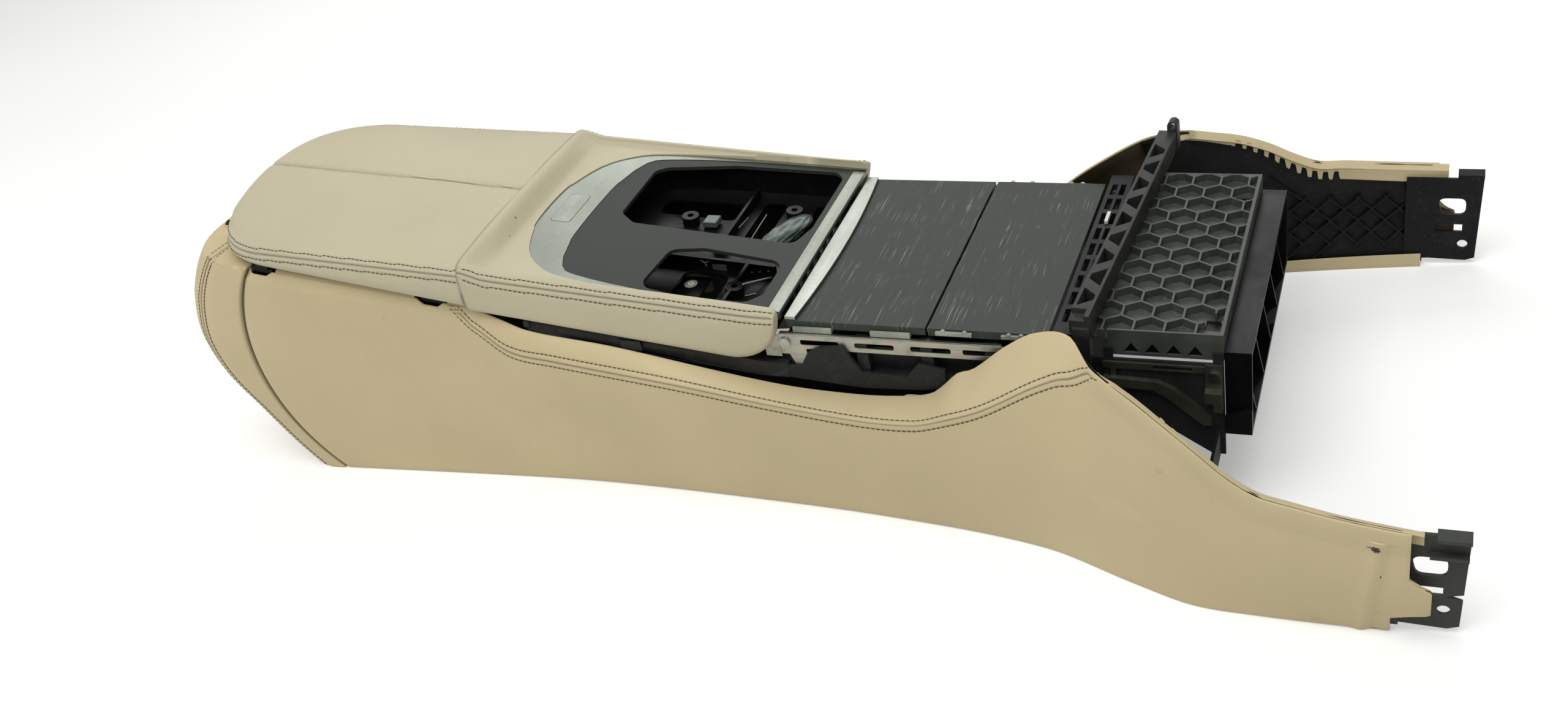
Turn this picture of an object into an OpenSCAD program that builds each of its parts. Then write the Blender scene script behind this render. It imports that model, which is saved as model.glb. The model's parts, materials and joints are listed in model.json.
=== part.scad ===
// Centre console of a large saloon car: leather side panels with long front arms, split armrest,
// padded surround with metal trim, sliding slat cover, cross brace and ribbed front cover.
// Everything is drawn in the deck frame: X runs to the front of the car, Y to its left,
// Z is square to the sliding slats, and the origin is the middle of the gap between them.
// on_floor() then turns the console so that its lower edges rest on Z = 0.

/* [Console body] */
// Half width over the side panels beside the armrest
console_half_w = 128; // [122:1:136]
// Angle between the slat deck and the floor, degrees
deck_tilt = 3.7; // [3.4:0.1:4]
// Height of the deck origin over the floor, square to the floor
deck_height = 172; // [166:1:180]
// Thickness of the leather and foam on a side panel
panel_t = 3.2; // [2.6:0.2:3.6]
// Thickness of the leather lip that runs under the armrest
lip_t = 2; // [1.6:0.2:2.2]
// Outward belly of the side panels
panel_belly = 4; // [2:0.5:5]
// Radius of the curved seam between side panel and rear panel
seam_r = 187; // [180:1:195]
// Gap at that seam
seam_gap = 0.8; // [0.4:0.1:1.5]
// Corner radius of the rear panel, seen from above
rear_corner_r = 50; // [40:2:56]

/* [Armrest] */
// Front edge of the armrest lids
lid_front_x = -427; // [-431:1:-424]
// Height of the lids' underside at that edge
lid_front_z = -1; // [-3:0.5:0]
// Rise of the lids towards the rear, degrees
lid_tilt = 7.4; // [7:0.1:7.8]
// Length of the lids
lid_len = 293; // [285:1:296]
// How far the lids overhang the side panels at their front corners
lid_overhang = 5; // [3:1:7]
// Lid height at the middle seam, front
lid_h_front = 52; // [48:1:54]
// Lid height at the middle seam, rear
lid_h_rear = 37; // [34:1:40]
// Plan radius of the lids' rear corners
lid_corner_r = 70; // [50:5:80]
// Gap between the two lids
lid_split = 1.6; // [1:0.2:2.4]
// Gap between the lids and what surrounds them
lid_gap = 3.8; // [3.6:0.1:4.2]
// Thickness of the plastic pan under each lid
pan_t = 5; // [4:0.5:6]
// Radius of the lid hinge pins
pin_r = 1.6; // [1.4:0.1:1.8]
// Depth of the hinge line below the lids' underside
hinge_drop = 7; // [7:0.1:7.4]

/* [Surround and shift plate] */
// Front end of the padded surround
pad_front_x = -126; // [-128:1:-124]
// Radius of the surround's nose, seen from the side
pad_nose_r = 50; // [44:1:54]
// Rise of the trim plane towards the rear, degrees
trim_tilt = 5.1; // [4.8:0.1:5.4]
// Height of the trim plane at its front edge
trim_front_z = 8; // [7:0.5:9]
// Rear end of the trim ring, along the trim plane from its front edge
trim_len = 274; // [268:1:276]
// Depth of the trim ring along its rear bend
trim_rear_w = 45; // [38:1:48]
// Thickness of the trim ring
trim_t = 5; // [4:0.5:6]
// Thickness of the shift plate
plate_t = 3.5; // [2.5:0.5:4]
// Size of the release button, along and across the console
button_size = [20, 48];
// Travel of the release button
button_travel = 3; // [2:0.5:4]

/* [Slat cover] */
// Half width of the slats
slat_half_w = 118; // [112:1:118]
// Length of the rear slat
rear_slat_len = 121; // [112:1:121]
// Length of the front slat
front_slat_len = 98; // [92:1:98]
// Thickness of the slats
slat_t = 7; // [6:0.5:7]
// Gap between the two slats
slat_gap = 2; // [1.6:0.2:3]
// Forward travel of the slats
slat_travel = 120; // [90:5:120]
// Fold of the front slat at full travel, degrees
slat_fold = 32; // [24:1:32]
// Thickness of the stamped rails
rail_t = 1.2; // [1:0.1:1.6]

/* [Tray and bin] */
// Radius of a cup well
cup_r = 37; // [34:0.5:38]
// Depth of a cup well below the tray rim
cup_depth = 78; // [60:2:84]
// Wall thickness of tray and bin
wall = 2.5; // [2:0.1:3]
// Depth of the bin under the armrest
bin_depth = 118; // [90:2:122]

/* [Front cover and brace] */
// Length of one honeycomb cell along the console
cell_pitch = 23.3; // [20:0.1:26]
// Thickness of the honeycomb walls
cell_wall = 2; // [1.6:0.1:2.6]
// Height of the honeycomb walls
cell_h = 7; // [5:0.5:8]
// Height of the cover's rim over the slats
cover_z = 11; // [10:0.5:12]
// Half width of the cover
cover_half_w = 121; // [116:1:122]
// Length of the cover along the console
cover_len = 99; // [94:1:100]
// Width of the cross brace along the console
brace_w = 16; // [14:1:18]
// Height of the cross brace
brace_h = 17; // [12:1:20]
// Spacing of the brace's diagonals
truss_pitch = 29; // [26:1:33]
// Angle at which the brace lies across the console, degrees
brace_turn = 3.8; // [3:0.2:4.4]
// Bore in the brace's ear
ear_bore_r = 3.2; // [2.5:0.1:3.6]

/* [Arms and feet] */
// Front end of the leather on the arms
arm_end_x = 372; // [366:1:376]
// How far the arm brackets stand out in front of the leather
bracket_reach = 38; // [32:1:42]
// Spacing of the diamond ribs inside the arms
lattice_pitch = 24; // [20:1:28]
// Bore in each arm bracket
bracket_bore_r = 4.5; // [3.5:0.1:5.5]
// Bore in each mounting foot
foot_bore_r = 4.25; // [3.5:0.25:5]
// Height of the mounting feet over the floor
foot_z = 26; // [20:1:30]
// Spacing of the feet along the console
foot_spacing_x = 480; // [460:5:500]
// Spacing of the feet across the console
foot_spacing_y = 150; // [140:2:156]

/* [Hidden] */
$fn = 48;
seat = 0.2;
run = 0.35;
slip = 0.08;
centre_x = -191.3;

// Positions that follow from the sizes above
frame_y = console_half_w - 15;
frame_t = 3;
shelf_y = console_half_w - 1;
hinge_y = console_half_w - 13;
rear_slat_x = -slat_gap / 2 - rear_slat_len;
slat_front_x = slat_gap / 2 + front_slat_len;
slider_y = slat_half_w + 2.8;
rail_y = slat_half_w + 1;
web_y = slider_y + 1.8;
rail_z = -10;
rail_rear_x = rear_slat_x - 6.5;
strip_end_x = 62;
tray_rim_z = -25;
strip_x = slat_front_x + 5;
strip_w = 20;
cover_x = strip_x + strip_w + 10;
cover_front_x = cover_x + cover_len;
arm_y = cover_half_w + seat;
arm_t = 2;
front_rail_y = arm_y + arm_t + seat;
frame_front_x = 107;
hinge_z = -5.2;

// Body lines. Each row is a station along X with how far the line stands outside
// console_half_w there, and its height. The bottom line follows the floor.
bottom_line = [
    [-720, -7], [-657, -6], [-455, -5.5], [-340, -3], [-190, 9], [-40, 26], [95, 52],
    [177, 88], [222, 106], [268, 112], [345, 117], [395, 118]
];
stitch_line = [
    [-720, -2.5, lid_z(-720) - 17], [-450, -2.5, lid_z(-450) - 17], [-430, 0, -20],
    [-393, 8, -40], [-347, 13, -44], [-224, 22, -53], [-138, 28, -61], [-54, 34, -66],
    [-7, 38, -63], [15, 40, -56], [54, 43, -39], [105, 46, -7], [130, 50, 2], [181, 80, -12],
    [204, 92, -22], [227, 102, -36], [248, 109, -52], [269, 114, -62], [291, 118, -64],
    [331, 123, -68], [395, 128, -72]
];
top_line = [
    [-720, -7.5, lid_z(-720) - lid_gap], [-450, -7.5, lid_z(-450) - lid_gap],
    [-430, -7.5, lid_z(-430) - lid_gap], [-400, -2, -11], [-370, 2, -19], [-286, 3, -29],
    [-135, 3, -56], [-64, 3, -61], [-21, 3, -59], [2, 3, -54], [14, 3, -44], [26, 3, -32],
    [40, 4, -26], [68, 5, -2], [94, 8, 15], [125, 25, 26], [144, 52, 19], [157, 64, 15],
    [181, 77, 6], [204, 90, -4], [227, 100, -17], [248, 107, -31], [269, 112, -41],
    [291, 117, -43], [331, 123, -47], [395, 129, -51]
];
panel_stations = concat(
    [for (x = [-720:45:-450]) x], [-430, -415, -400, -385, -370], [for (x = [-330:40:-90]) x],
    [for (x = [-64:21:-22]) x], [for (x = [-10:12:38]) x], [for (x = [50:15:275]) x],
    [291, 315, 345, 368, 395]
);

// Side outline of the rear panel: height, and how far back it reaches
rear_line = [
    [-230, -700], [-192, -728], [-144, -755], [-103, -778], [-60, -786], [-20, -777],
    [10, -762], [32, -746], [44, -733], [50, -722]
];
rear_rows = [-230, -210, -192, -168, -144, -122, -103, -82, -60, -40, -20, -4, 10, 22, 32, 40, 46, 50];
// Width of the console's rear part by height, outside console_half_w
rear_flare = [[-230, -6.5], [-150, -2], [-70, 0], [-20, -1], [5, -2.5], [50, -7.5]];

// Outlines in the trim plane: distance behind its front edge, and half width
trim_edge = [[0, 123], [120, 119], [212, 109], [241, 94], [259, 72], [270, 40]];
plate_edge = [[0, 119.5], [112, 114], [205, 101], [219, 85], [226, 55]];
opening_a = [
    [17, 14], [25, -15], [183, -11], [201, 3], [201, 82], [190, 90], [124, 106], [26, 112], [17, 102]
];
opening_b = [
    [23, -53], [30, -44], [100, -38], [130, -46], [134, -98], [128, -108], [92, -113], [34, -110], [23, -96]
];

// Curves, outlines and lofts
function lerp(a, b, t) = a + (b - a) * t;

function span(rows, x, i = 0) = i >= len(rows) - 2 || x < rows[i + 1][0] ? i : span(rows, x, i + 1);

function slope(rows, i, k) =
    let (a = rows[max(i - 1, 0)], b = rows[min(i + 1, len(rows) - 1)])
    (b[k] - a[k]) / (b[0] - a[0]);

// Smooth value of column k at x, through every row
function curve(rows, x, k = 1) =
    let (i = span(rows, x), a = rows[i], b = rows[i + 1], w = b[0] - a[0], u = (x - a[0]) / w)
    a[k] * (2 * u * u * u - 3 * u * u + 1) + b[k] * (3 * u * u - 2 * u * u * u)
    + w * slope(rows, i, k) * (u * u * u - 2 * u * u + u)
    + w * slope(rows, i + 1, k) * (u * u * u - u * u);

function side_normal(a, b) = [b[1] - a[1], a[0] - b[0]] / norm(b - a);

function normal_at(path, i) =
    let (
        n = len(path) - 1,
        p = side_normal(path[max(i - 1, 0)], path[max(i, 1)]),
        q = side_normal(path[min(i, n - 1)], path[min(i + 1, n)]),
        m = (p + q) / norm(p + q)
    )
    m / max(m * p, 0.5);

// The path moved to its inner side by t, which may be one value or one per point
function inset(path, t) =
    [for (i = [0:len(path) - 1]) path[i] - normal_at(path, i) * (is_list(t) ? t[i] : t)];

function reversed(list) = [for (i = [len(list) - 1:-1:0]) list[i]];

// Outline whose corners are rounded by arcs of radius r
function rounded(points, r, steps = 5) = [
    for (i = [0:len(points) - 1])
        let (
            p = points[i],
            a = points[(i + len(points) - 1) % len(points)] - p,
            b = points[(i + 1) % len(points)] - p,
            half = acos(a * b / (norm(a) * norm(b))) / 2,
            reach = min(r / tan(half), norm(a) * 0.45, norm(b) * 0.45),
            s = p + a / norm(a) * reach,
            e = p + b / norm(b) * reach
        )
        for (k = [0:steps])
            let (t = k / steps)
            s * (1 - t) * (1 - t) + p * 2 * t * (1 - t) + e * t * t
];

function loft_sides(n, m) = [
    for (i = [0:m - 2]) for (j = [0:n - 1])
        let (a = i * n + j, b = i * n + (j + 1) % n)
        each [[a, b, a + n], [b, b + n, a + n]]
];

// Facets of a shell. Both of its faces are split along the same diagonals, so shells nest
function shell_sides(n, m) = [
    for (i = [0:m - 2]) for (j = [0:n - 1])
        let (a = i * n + j, b = i * n + (j + 1) % n)
        each (j < n / 2 ? [[a, b, a + n], [b, b + n, a + n]] : [[a, b, b + n], [a, b + n, a + n]])
];

// Closed solid through rings of equal length
module loft(rings) {
    n = len(rings[0]);
    m = len(rings);
    caps = [[for (j = [n - 1:-1:0]) j], [for (j = [0:n - 1]) (m - 1) * n + j]];
    polyhedron([for (ring = rings) each ring], concat(loft_sides(n, m), caps), 10);
}

// The same for a shell, whose rings run along its inner path and back along its outer one
module shell_loft(rings) {
    n = len(rings[0]);
    m = len(rings);
    last = (m - 1) * n;
    caps = [
        for (j = [0:n / 2 - 2])
            let (k = n - 1 - j)
            each [
                [j + 1, j, k], [j + 1, k, k - 1],
                [last + j, last + j + 1, last + k], [last + j + 1, last + k - 1, last + k]
            ]
    ];
    polyhedron([for (ring = rings) each ring], concat(shell_sides(n, m), caps), 10);
}

// Frames
function floor_z(x) = x * tan(deck_tilt) - deck_height / cos(deck_tilt);
function lid_z(x) = lid_front_z - (x - lid_front_x) * tan(lid_tilt);
function trim_z(x) = trim_front_z - (x - pad_front_x) * tan(trim_tilt);

module on_floor() translate([-centre_x, 0, deck_height]) rotate([0, deck_tilt, 0]) children();
module level() rotate([0, -deck_tilt, 0]) children();
module lid_frame() translate([lid_front_x, 0, lid_front_z]) rotate([0, lid_tilt, 0]) children();
module trim_frame() translate([pad_front_x, 0, trim_front_z]) rotate([0, trim_tilt, 0]) children();
module right() mirror([0, 1, 0]) children();
module both_sides() {
    children();
    right() children();
}
// Side view outline extruded between two widths
module side_plate(y0, y1, points)
    translate([0, y1, 0]) rotate([90, 0, 0]) linear_extrude(y1 - y0) polygon(points);
module bore_y(r, x, z, y0, y1) translate([x, y0, z]) rotate([-90, 0, 0]) cylinder(r = r, h = y1 - y0);
module pin_x(r, x, y, z, length)
    translate([x, y, z]) rotate([0, 90, 0]) cylinder(r = r, h = length, center = true);
module block(low, high) translate(low) cube(high - low);

// Plain block with upright rounded corners
module soft_block(low, high, r) {
    size = high - low;
    translate([low[0] + r, low[1], low[2]]) cube([size[0] - 2 * r, size[1], size[2]]);
    translate([low[0], low[1] + r, low[2]]) cube([size[0], size[1] - 2 * r, size[2]]);
    for (x = [low[0] + r, high[0] - r], y = [low[1] + r, high[1] - r])
        translate([x, y, low[2]]) cylinder(r = r, h = size[2]);
}

// Side panels

// Outer line of the left panel at a station, from the floor up to the inner lip, as [y, z]
function panel_path(x) =
    let (
        b = [console_half_w + curve(bottom_line, x), floor_z(x)],
        s = [console_half_w + curve(stitch_line, x), curve(stitch_line, x, 2)],
        t = [console_half_w + curve(top_line, x), curve(top_line, x, 2)],
        h = lerp(s, t, 0.55) + [1, 2] * (x < lid_front_x ? 0.2 : 1)
    )
    [b, for (u = [0.22, 0.5, 0.8]) lerp(b, s, u) + [panel_belly * 4 * u * (1 - u), 0], s, h, t];

function panel_ring(x, outer, inner) =
    let (path = panel_path(x))
    [for (p = concat(inset(path, inner), reversed(inset(path, outer)))) [x, p[0], p[1]]];

skin_t = [panel_t, panel_t, panel_t, panel_t, panel_t, lip_t, lip_t];

// What lies in front of the curved rear seam, grown backwards by a gap
module front_of_seam(gap) {
    bore_y(seam_r + gap, lid_front_x - 90, -82, -200, 200);
    block([lid_front_x - 90, -300, -300], [500, 300, 100]);
}

// Cut at the arm's end: the leather ends in a tongue between two notches
module arm_end_cut() side_plate(0, 300, [
    [arm_end_x, 0], [arm_end_x, -96], [arm_end_x + 15, -96], [arm_end_x + 15, -127],
    [arm_end_x - 11, -127], [arm_end_x - 11, -200], [500, -200], [500, 0]
]);

module side_panel() color("#c9b58f") difference() {
    intersection() {
        shell_loft([for (x = panel_stations) panel_ring(x, 0, skin_t)]);
        front_of_seam(0);
    }
    lid_frame() for (x = hinge_stations) block([x - 15, 0, -hinge_drop - 0.2], [x + 15, 200, 20]);
    arm_end_cut();
}

// Black carrier inside each arm, with diamond ribs, webs to the frame and the arm bracket

carrier_t = 2.6;
rib_h = 3.5;
carrier_stations = [for (x = [125:15:275]) x, 291, 315, 345, arm_end_x - 6];

function skin_shift(d) = [for (t = skin_t) t + d];

// The panel's line from a little above the floor
function carrier_path(x) =
    let (path = panel_path(x))
    [lerp(path[0], path[1], 0.25), for (i = [1:6]) path[i]];

function carrier_ring(x, outer, inner) =
    let (path = carrier_path(x))
    [
        for (p = concat(inset(path, skin_shift(inner)), reversed(inset(path, skin_shift(outer)))))
            [x, p[0], p[1]]
    ];

// Diagonal ribs, each a bar that follows the wall
module diamond_rib(x0, z0, turn) {
    steps = [for (k = [-4:4]) k * 13];
    line = [
        for (k = steps)
            let (x = x0 + k, z = z0 + k * turn)
            if (x > 222 && x < arm_end_x - 12 && z > floor_z(x) + 12 && z < wall_top_z(x) - 6) [x, z]
    ];
    if (len(line) > 1) loft([for (p = line) rib_ring(p, turn)]);
}

function wall_top_z(x) = curve(stitch_line, x, 2);

// Height of the wall's inner face at (x, z): how far it lies from the middle of the console
function wall_y(x, z, depth) =
    let (path = inset(carrier_path(x), skin_shift(depth)))
    lookup(z, [for (i = [0:4]) [path[i][1], path[i][0]]]);

function rib_ring(p, turn) = [
    for (c = [[-1, 0], [-1, rib_h + 1], [1, rib_h + 1], [1, 0]])
        let (x = p[0], z = p[1] + c[0] * 1.2)
        [x, wall_y(x, z, seat + carrier_t - 1) - c[1], z]
];

// Upright web between the carrier and the frame's arm, from z0 up to z1
module carrier_web(x, z0, z1) {
    rows = [z0, lerp(z0, z1, 0.33), lerp(z0, z1, 0.67), z1];
    loft([
        for (s = [x, x + 2.4])
            concat(
                [[s, front_rail_y, z0], [s, front_rail_y, z1]],
                [for (i = [3:-1:0]) [s, wall_y(s, rows[i], seat + carrier_t - 1), rows[i]]]
            )
    ]);
}

// Outer face of the arm bracket: inside the wall of the carrier at every height
bracket_y = min([for (x = [345, 362], z = [-141, -120, -90, -60]) wall_y(x, z, seat + carrier_t / 2)]);

module arm_bracket() {
    tip_x = arm_end_x + bracket_reach;
    y1 = bracket_y;
    difference() {
        union() {
            side_plate(y1 - 3, y1, [
                [345, -58], [tip_x - 22, -58], [tip_x - 22, -54], [tip_x, -54], [tip_x - 4, -140],
                [tip_x - 12, -143], [345, -141]
            ]);
            block([tip_x - 22, y1 - 3, -57], [tip_x, y1 + 9, -54]);
            block([tip_x - 26, y1 - 3, -75], [tip_x - 1, y1 + 6, -72]);
            for (z = [-136, -118, -98]) block([345, y1 - 3, z - 2], [362, y1 + 2, z]);
        }
        bore_y(bracket_bore_r, tip_x - 15, -126, y1 - 4, y1 + 1);
        side_plate(y1 - 4, y1 + 1, rounded([[372, -78], [396, -78], [396, -95], [376, -95]], 6));
        side_plate(y1 - 4, y1 + 1, [[371, -105], [394, -105], [394, -113], [371, -113]]);
    }
}

module side_carrier() color("#1f2123") {
    shell_loft([for (x = carrier_stations) carrier_ring(x, seat, seat + carrier_t)]);
    for (i = [0:6]) {
        diamond_rib(232 + i * lattice_pitch, -104, 1);
        diamond_rib(232 + i * lattice_pitch, -104, -1);
    }
    carrier_web(137, -88, -22);
    carrier_web(cover_front_x - 6, -98, -74);
    arm_bracket();
}

// The worn bracket of the right arm has a crack at its front edge
module bracket_crack() {
    tip_x = arm_end_x + bracket_reach;
    side_plate(200, 260, [[tip_x + 5, -108], [tip_x - 14, -113], [tip_x + 5, -119]]);
}

// Rear panel

function rear_path(z) =
    let (w = console_half_w + curve(rear_flare, z), x = curve(rear_line, z), r = rear_corner_r)
    [
        [-600, w],
        for (a = [90:15:180]) [x + r + r * cos(a), w - r + r * sin(a)],
        for (a = [180:15:270]) [x + r + r * cos(a), -w + r + r * sin(a)],
        [-600, -w]
    ];

function rear_ring(z, outer, inner) =
    let (path = rear_path(z))
    [for (p = concat(inset(path, inner), reversed(inset(path, outer)))) [p[0], p[1], z]];

module rear_panel() color("#c9b58f") difference() {
    intersection() {
        shell_loft([for (z = rear_rows) rear_ring(z, 0, panel_t)]);
        level() block([-900, -300, -deck_height], [0, 300, 300]);
    }
    front_of_seam(seam_gap);
    lid_frame() block([-lid_len - 2, -200, -lid_gap], [0, 200, 100]);
}

// Main frame, bin and feet

foot_x = [-90 - foot_spacing_x, -90];
beam_z = -46;

// Leg of the wall over a foot, as points from rear to front
function wall_leg(x, z0, z1) = [
    [x - 24, z0], [x - 18, floor_z(x - 18) + foot_z + 1], [x + 14, floor_z(x + 14) + foot_z + 1], [x + 22, z1]
];

module frame_wall() side_plate(frame_y - frame_t, frame_y, [
    [-690, lid_z(-690) - 14], [-690, -150], each wall_leg(foot_x[0], -150, -150),
    each wall_leg(foot_x[1], -146, -140), [110, -120], [110, tray_seat_z], [tray_rear_x - 2, tray_seat_z],
    [tray_rear_x - 6, -38.5], [-150, pad_z(-150) - seat], [-402, pad_z(-402) - seat], [-440, lid_z(-440) - 14]
]);

// The dark shelf that shows between the surround and the side panel, and carries the surround
module frame_shelf() {
    side_plate(frame_y - 1, shelf_y, [
        [-372, pad_z(-372) - seat], [-150, pad_z(-150) - seat], [-124, -38.5], [-124, -52],
        [-150, -52], [-372, pad_z(-372) - 15]
    ]);
    block([-279, frame_y - 1, pad_z(-279) - 13], [-259, shelf_y + 2.5, pad_z(-259) - 0.5]);
    block([-374, frame_y - 1, pad_z(-374) - 9], [-368, shelf_y + 0.8, pad_z(-374) - 2.5]);
}

// Side beam under the guide rail, with the posts that carry it and the lugs outside it
beam_rear_x = -124 + seat;
module rail_beam() color("#1b1c1f") {
    side_plate(frame_y, web_y - seat, [
        [beam_rear_x, beam_z], [frame_front_x, beam_z], [frame_front_x, -58], [-60, -60], [beam_rear_x, -52]
    ]);
    side_plate(web_y - 2, shelf_y, [
        [beam_rear_x, beam_z], [14, beam_z], [14, -52], [-8, -56], [-60, -58], [beam_rear_x, -52]
    ]);
    side_plate(web_y + rail_t + seat, shelf_y, [
        [beam_rear_x, beam_z - 1], [beam_rear_x, -40], [-112, -40], [-104, -26], [-92, -19], [-72, -17],
        [-58, -42], [-20, -44], [-8, -30], [14, -34], [14, beam_z - 1]
    ]);
    for (x = [-122, -62, -6, strip_end_x - 14])
        block([x, frame_y, beam_z - 2], [x + 10, web_y - seat, rail_z - rail_t - seat]);
}

// Thin arm that carries the front cover, its rails, the housing and the clip strip
module cover_arm() color("#1b1c1f") {
    side_plate(arm_y, arm_y + arm_t, [
        [frame_front_x + seat, -90], [frame_front_x + seat, -28],
        [frame_front_x + 1, strip_z - seat], [strip_x + strip_w, strip_z - seat], [strip_x + strip_w, -14],
        [cover_x + 9, -14], [cover_x + 9, -4], [cover_x + 16, -4], [cover_x + 16, -14],
        [cover_front_x - 8, -14], [cover_front_x - 8, -4], [cover_front_x, -4], [cover_front_x, -100],
        [cover_front_x - 10, -100], [cover_front_x - 40, -80], [cover_x + 20, -80]
    ]);
    block([frame_front_x + seat, frame_y, -90], [frame_front_x + 3, arm_y + 1, -34]);
}

module frame_windows() {
    for (x = [-640:90:-280])
        side_plate(0, 200, rounded([[x, -135], [x + 60, -135], [x + 60, -60], [x, -60]], 8));
    for (x = [-230, -128, -32, 34])
        side_plate(0, frame_y + 1, rounded([[x, -118], [x + 56, -116], [x + 56, -72], [x, -72]], 8));
}

module frame_feet() level() for (x = foot_x, side = [-1, 1]) difference() {
    block(
        [x - 16, side > 0 ? foot_spacing_y / 2 - 16 : -frame_y, foot_z - deck_height],
        [x + 16, side > 0 ? frame_y : 16 - foot_spacing_y / 2, foot_z - deck_height + 3]
    );
    translate([x, side * foot_spacing_y / 2, foot_z - deck_height - 1]) cylinder(r = foot_bore_r, h = 5);
}

// Ribs that hold the rear panel
module rear_ribs() for (y = [-60, 57]) side_plate(y, y + 3, [
    for (i = [15:-1:3]) [curve(rear_line, rear_rows[i]) + panel_t + seat, rear_rows[i]],
    [-688, -150], [-688, 0], [-712, lid_z(-712) - lid_gap]
]);

// Ears that carry the hinge pins, one each side of a lid knuckle
hinge_stations = [-45, -231];
knuckle_r = 3.2;
knuckle_w = 14;

module hinge_ears() lid_frame() both_sides() for (x = hinge_stations, s = [-1, 1])
    translate([x + s * (knuckle_w / 2 + run + 2), 0, 0]) {
        pin_x(knuckle_r, 0, hinge_y, -hinge_drop, 4);
        block([-2, frame_y - frame_t, -hinge_drop - 20], [2, hinge_y + 1, -hinge_drop]);
    }

module carrier_frame() color("#1b1c1f") difference() {
    union() {
        both_sides() {
            frame_wall();
            frame_shelf();
        }
        block([-690, -frame_y, -150], [-687, frame_y, 5]);
        block([-150, -frame_y, -140], [-147, frame_y, -52]);
        for (x = [-340, -200]) {
            block([x, -frame_y, pad_z(x) - 30], [x + 3, frame_y, pad_z(x + 3) - 1]);
            block([x, -80, pad_z(x) - 3], [x + 3, 80, trim_z(x) - plate_floor_h - 3.3 - seat]);
        }
        block([frame_front_x, -frame_y, -120], [frame_front_x + 3, frame_y, -34]);
        rear_ribs();
        frame_feet();
        hinge_ears();
    }
    frame_windows();
    right() frame_windows();
    lid_frame() both_sides() for (x = hinge_stations) pin_x(pin_r, x, hinge_y, -hinge_drop, 60);
}

module bin_outline(inset_by) {
    half = frame_y - frame_t - seat - inset_by;
    lid_frame() soft_block(
        [-245 + inset_by, -half, inset_by - bin_depth],
        [-22 - inset_by, half, inset_by > 0 ? 10 : -1.5],
        12 - inset_by
    );
}
module storage_bin() color("#303134") difference() {
    bin_outline(0);
    bin_outline(wall);
}
module bin_mat() color("#3a3b3e") {
    half = frame_y - frame_t - wall - 1.3;
    lid_frame() soft_block(
        [-244 + wall, -half, wall + seat - bin_depth],
        [-23 - wall, half, wall + seat + 2 - bin_depth],
        8
    );
}

// Armrest lids

function drop(e, r) = e < r ? r - sqrt(r * r - (r - e) * (r - e)) : 0;

// Left lid section at distance e from the rear end, from the seam outwards
function lid_ring(e) =
    let (
        u = 1 - e / lid_len,
        f = lid_len - e,
        w = lerp(console_half_w + lid_overhang, console_half_w - 2, u) - drop(e, lid_corner_r),
        fall = drop(e, 12) + drop(f, 4),
        hc = lerp(lid_h_front, lid_h_rear, u) - fall,
        he = lerp(lid_h_front - 8, lid_h_rear - 16, u) - fall * 0.6,
        low = min(1, (he - 11) / 14),
        g = lid_split / 2
    )
    [for (p = [
        [g, 0], [g, hc - 2.5], [g + 2.5, hc], [w * 0.45, hc - (hc - he) * 0.2], [w * 0.8, lerp(hc, he, 0.7)],
        [w - 10, he - 1], [w - 4, he - 5], [w - 1, he - 11], [w, lerp(8 * low, he - 11, 0.45)],
        [w - 1.5, 8 * low], [w - 5, 3.5 * low], [w - 13, 0]
    ]) [e - lid_len, p[0], p[1]]];

lid_marks = [0, 1, 3, 6, 12, 20, 32, 50, 70, 115, 160, 205, 250, lid_len - 4, lid_len - 1.5, lid_len];

// Plan of the pan, or of its pocket in the pad where room is 0
pan_half_w = console_half_w - 14;
module pan_outline(room) {
    polygon([
        [24 - lid_len + room, room > 0 ? lid_split / 2 + 1 : -1], [24 - lid_len + room, pan_half_w - 14 - room],
        [50 - lid_len + room, pan_half_w - room], [-8 - room, pan_half_w - room],
        [-8 - room, room > 0 ? lid_split / 2 + 1 : -1]
    ]);
    for (x = hinge_stations)
        translate([x - 10 + room, pan_half_w - 10]) square([20 - 2 * room, 14 - room]);
}

module armrest_pad() color("#d8cba6") lid_frame() difference() {
    loft([for (e = lid_marks) lid_ring(e)]);
    translate([0, 0, -1]) linear_extrude(1 + pan_t + seat) pan_outline(0);
}

module lid_pan() color("#232427") lid_frame() difference() {
    union() {
        linear_extrude(pan_t) pan_outline(seat);
        for (x = hinge_stations) {
            pin_x(knuckle_r, x, hinge_y, -hinge_drop, knuckle_w);
            block([x - knuckle_w / 2, hinge_y - 2.5, -hinge_drop], [x + knuckle_w / 2, hinge_y + 2.5, 1]);
        }
        block([-19, 12, -5], [-14, 22, 1]);
    }
    for (x = hinge_stations) pin_x(pin_r + slip, x, hinge_y, -hinge_drop, knuckle_w + 2);
}

module hinge_pins() color("#b9bcc0") lid_frame()
    for (x = hinge_stations) pin_x(pin_r, x, hinge_y, -hinge_drop, knuckle_w + 8);

// Latch under the rear of the surround, with the guide of the release button
module latch_housing() color("#232427") difference() {
    union() {
        lid_frame() block([-22 + seat, -30, -28], [64, 30, -8]);
        lid_frame() block([-22 + seat, -30, -9], [-6, 30, -1.5]);
        trim_frame() translate([button_x, 0, -52]) cylinder(r = 7.5, h = 52 - 3.2 - button_travel - run);
    }
    lid_frame() both_sides() block([-21, 10, -7], [-12, 24, 0]);
    trim_frame() translate([button_x, 0, -40]) cylinder(r = 4 + run, h = 40);
}

// Padded surround, trim and shift plate

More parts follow.
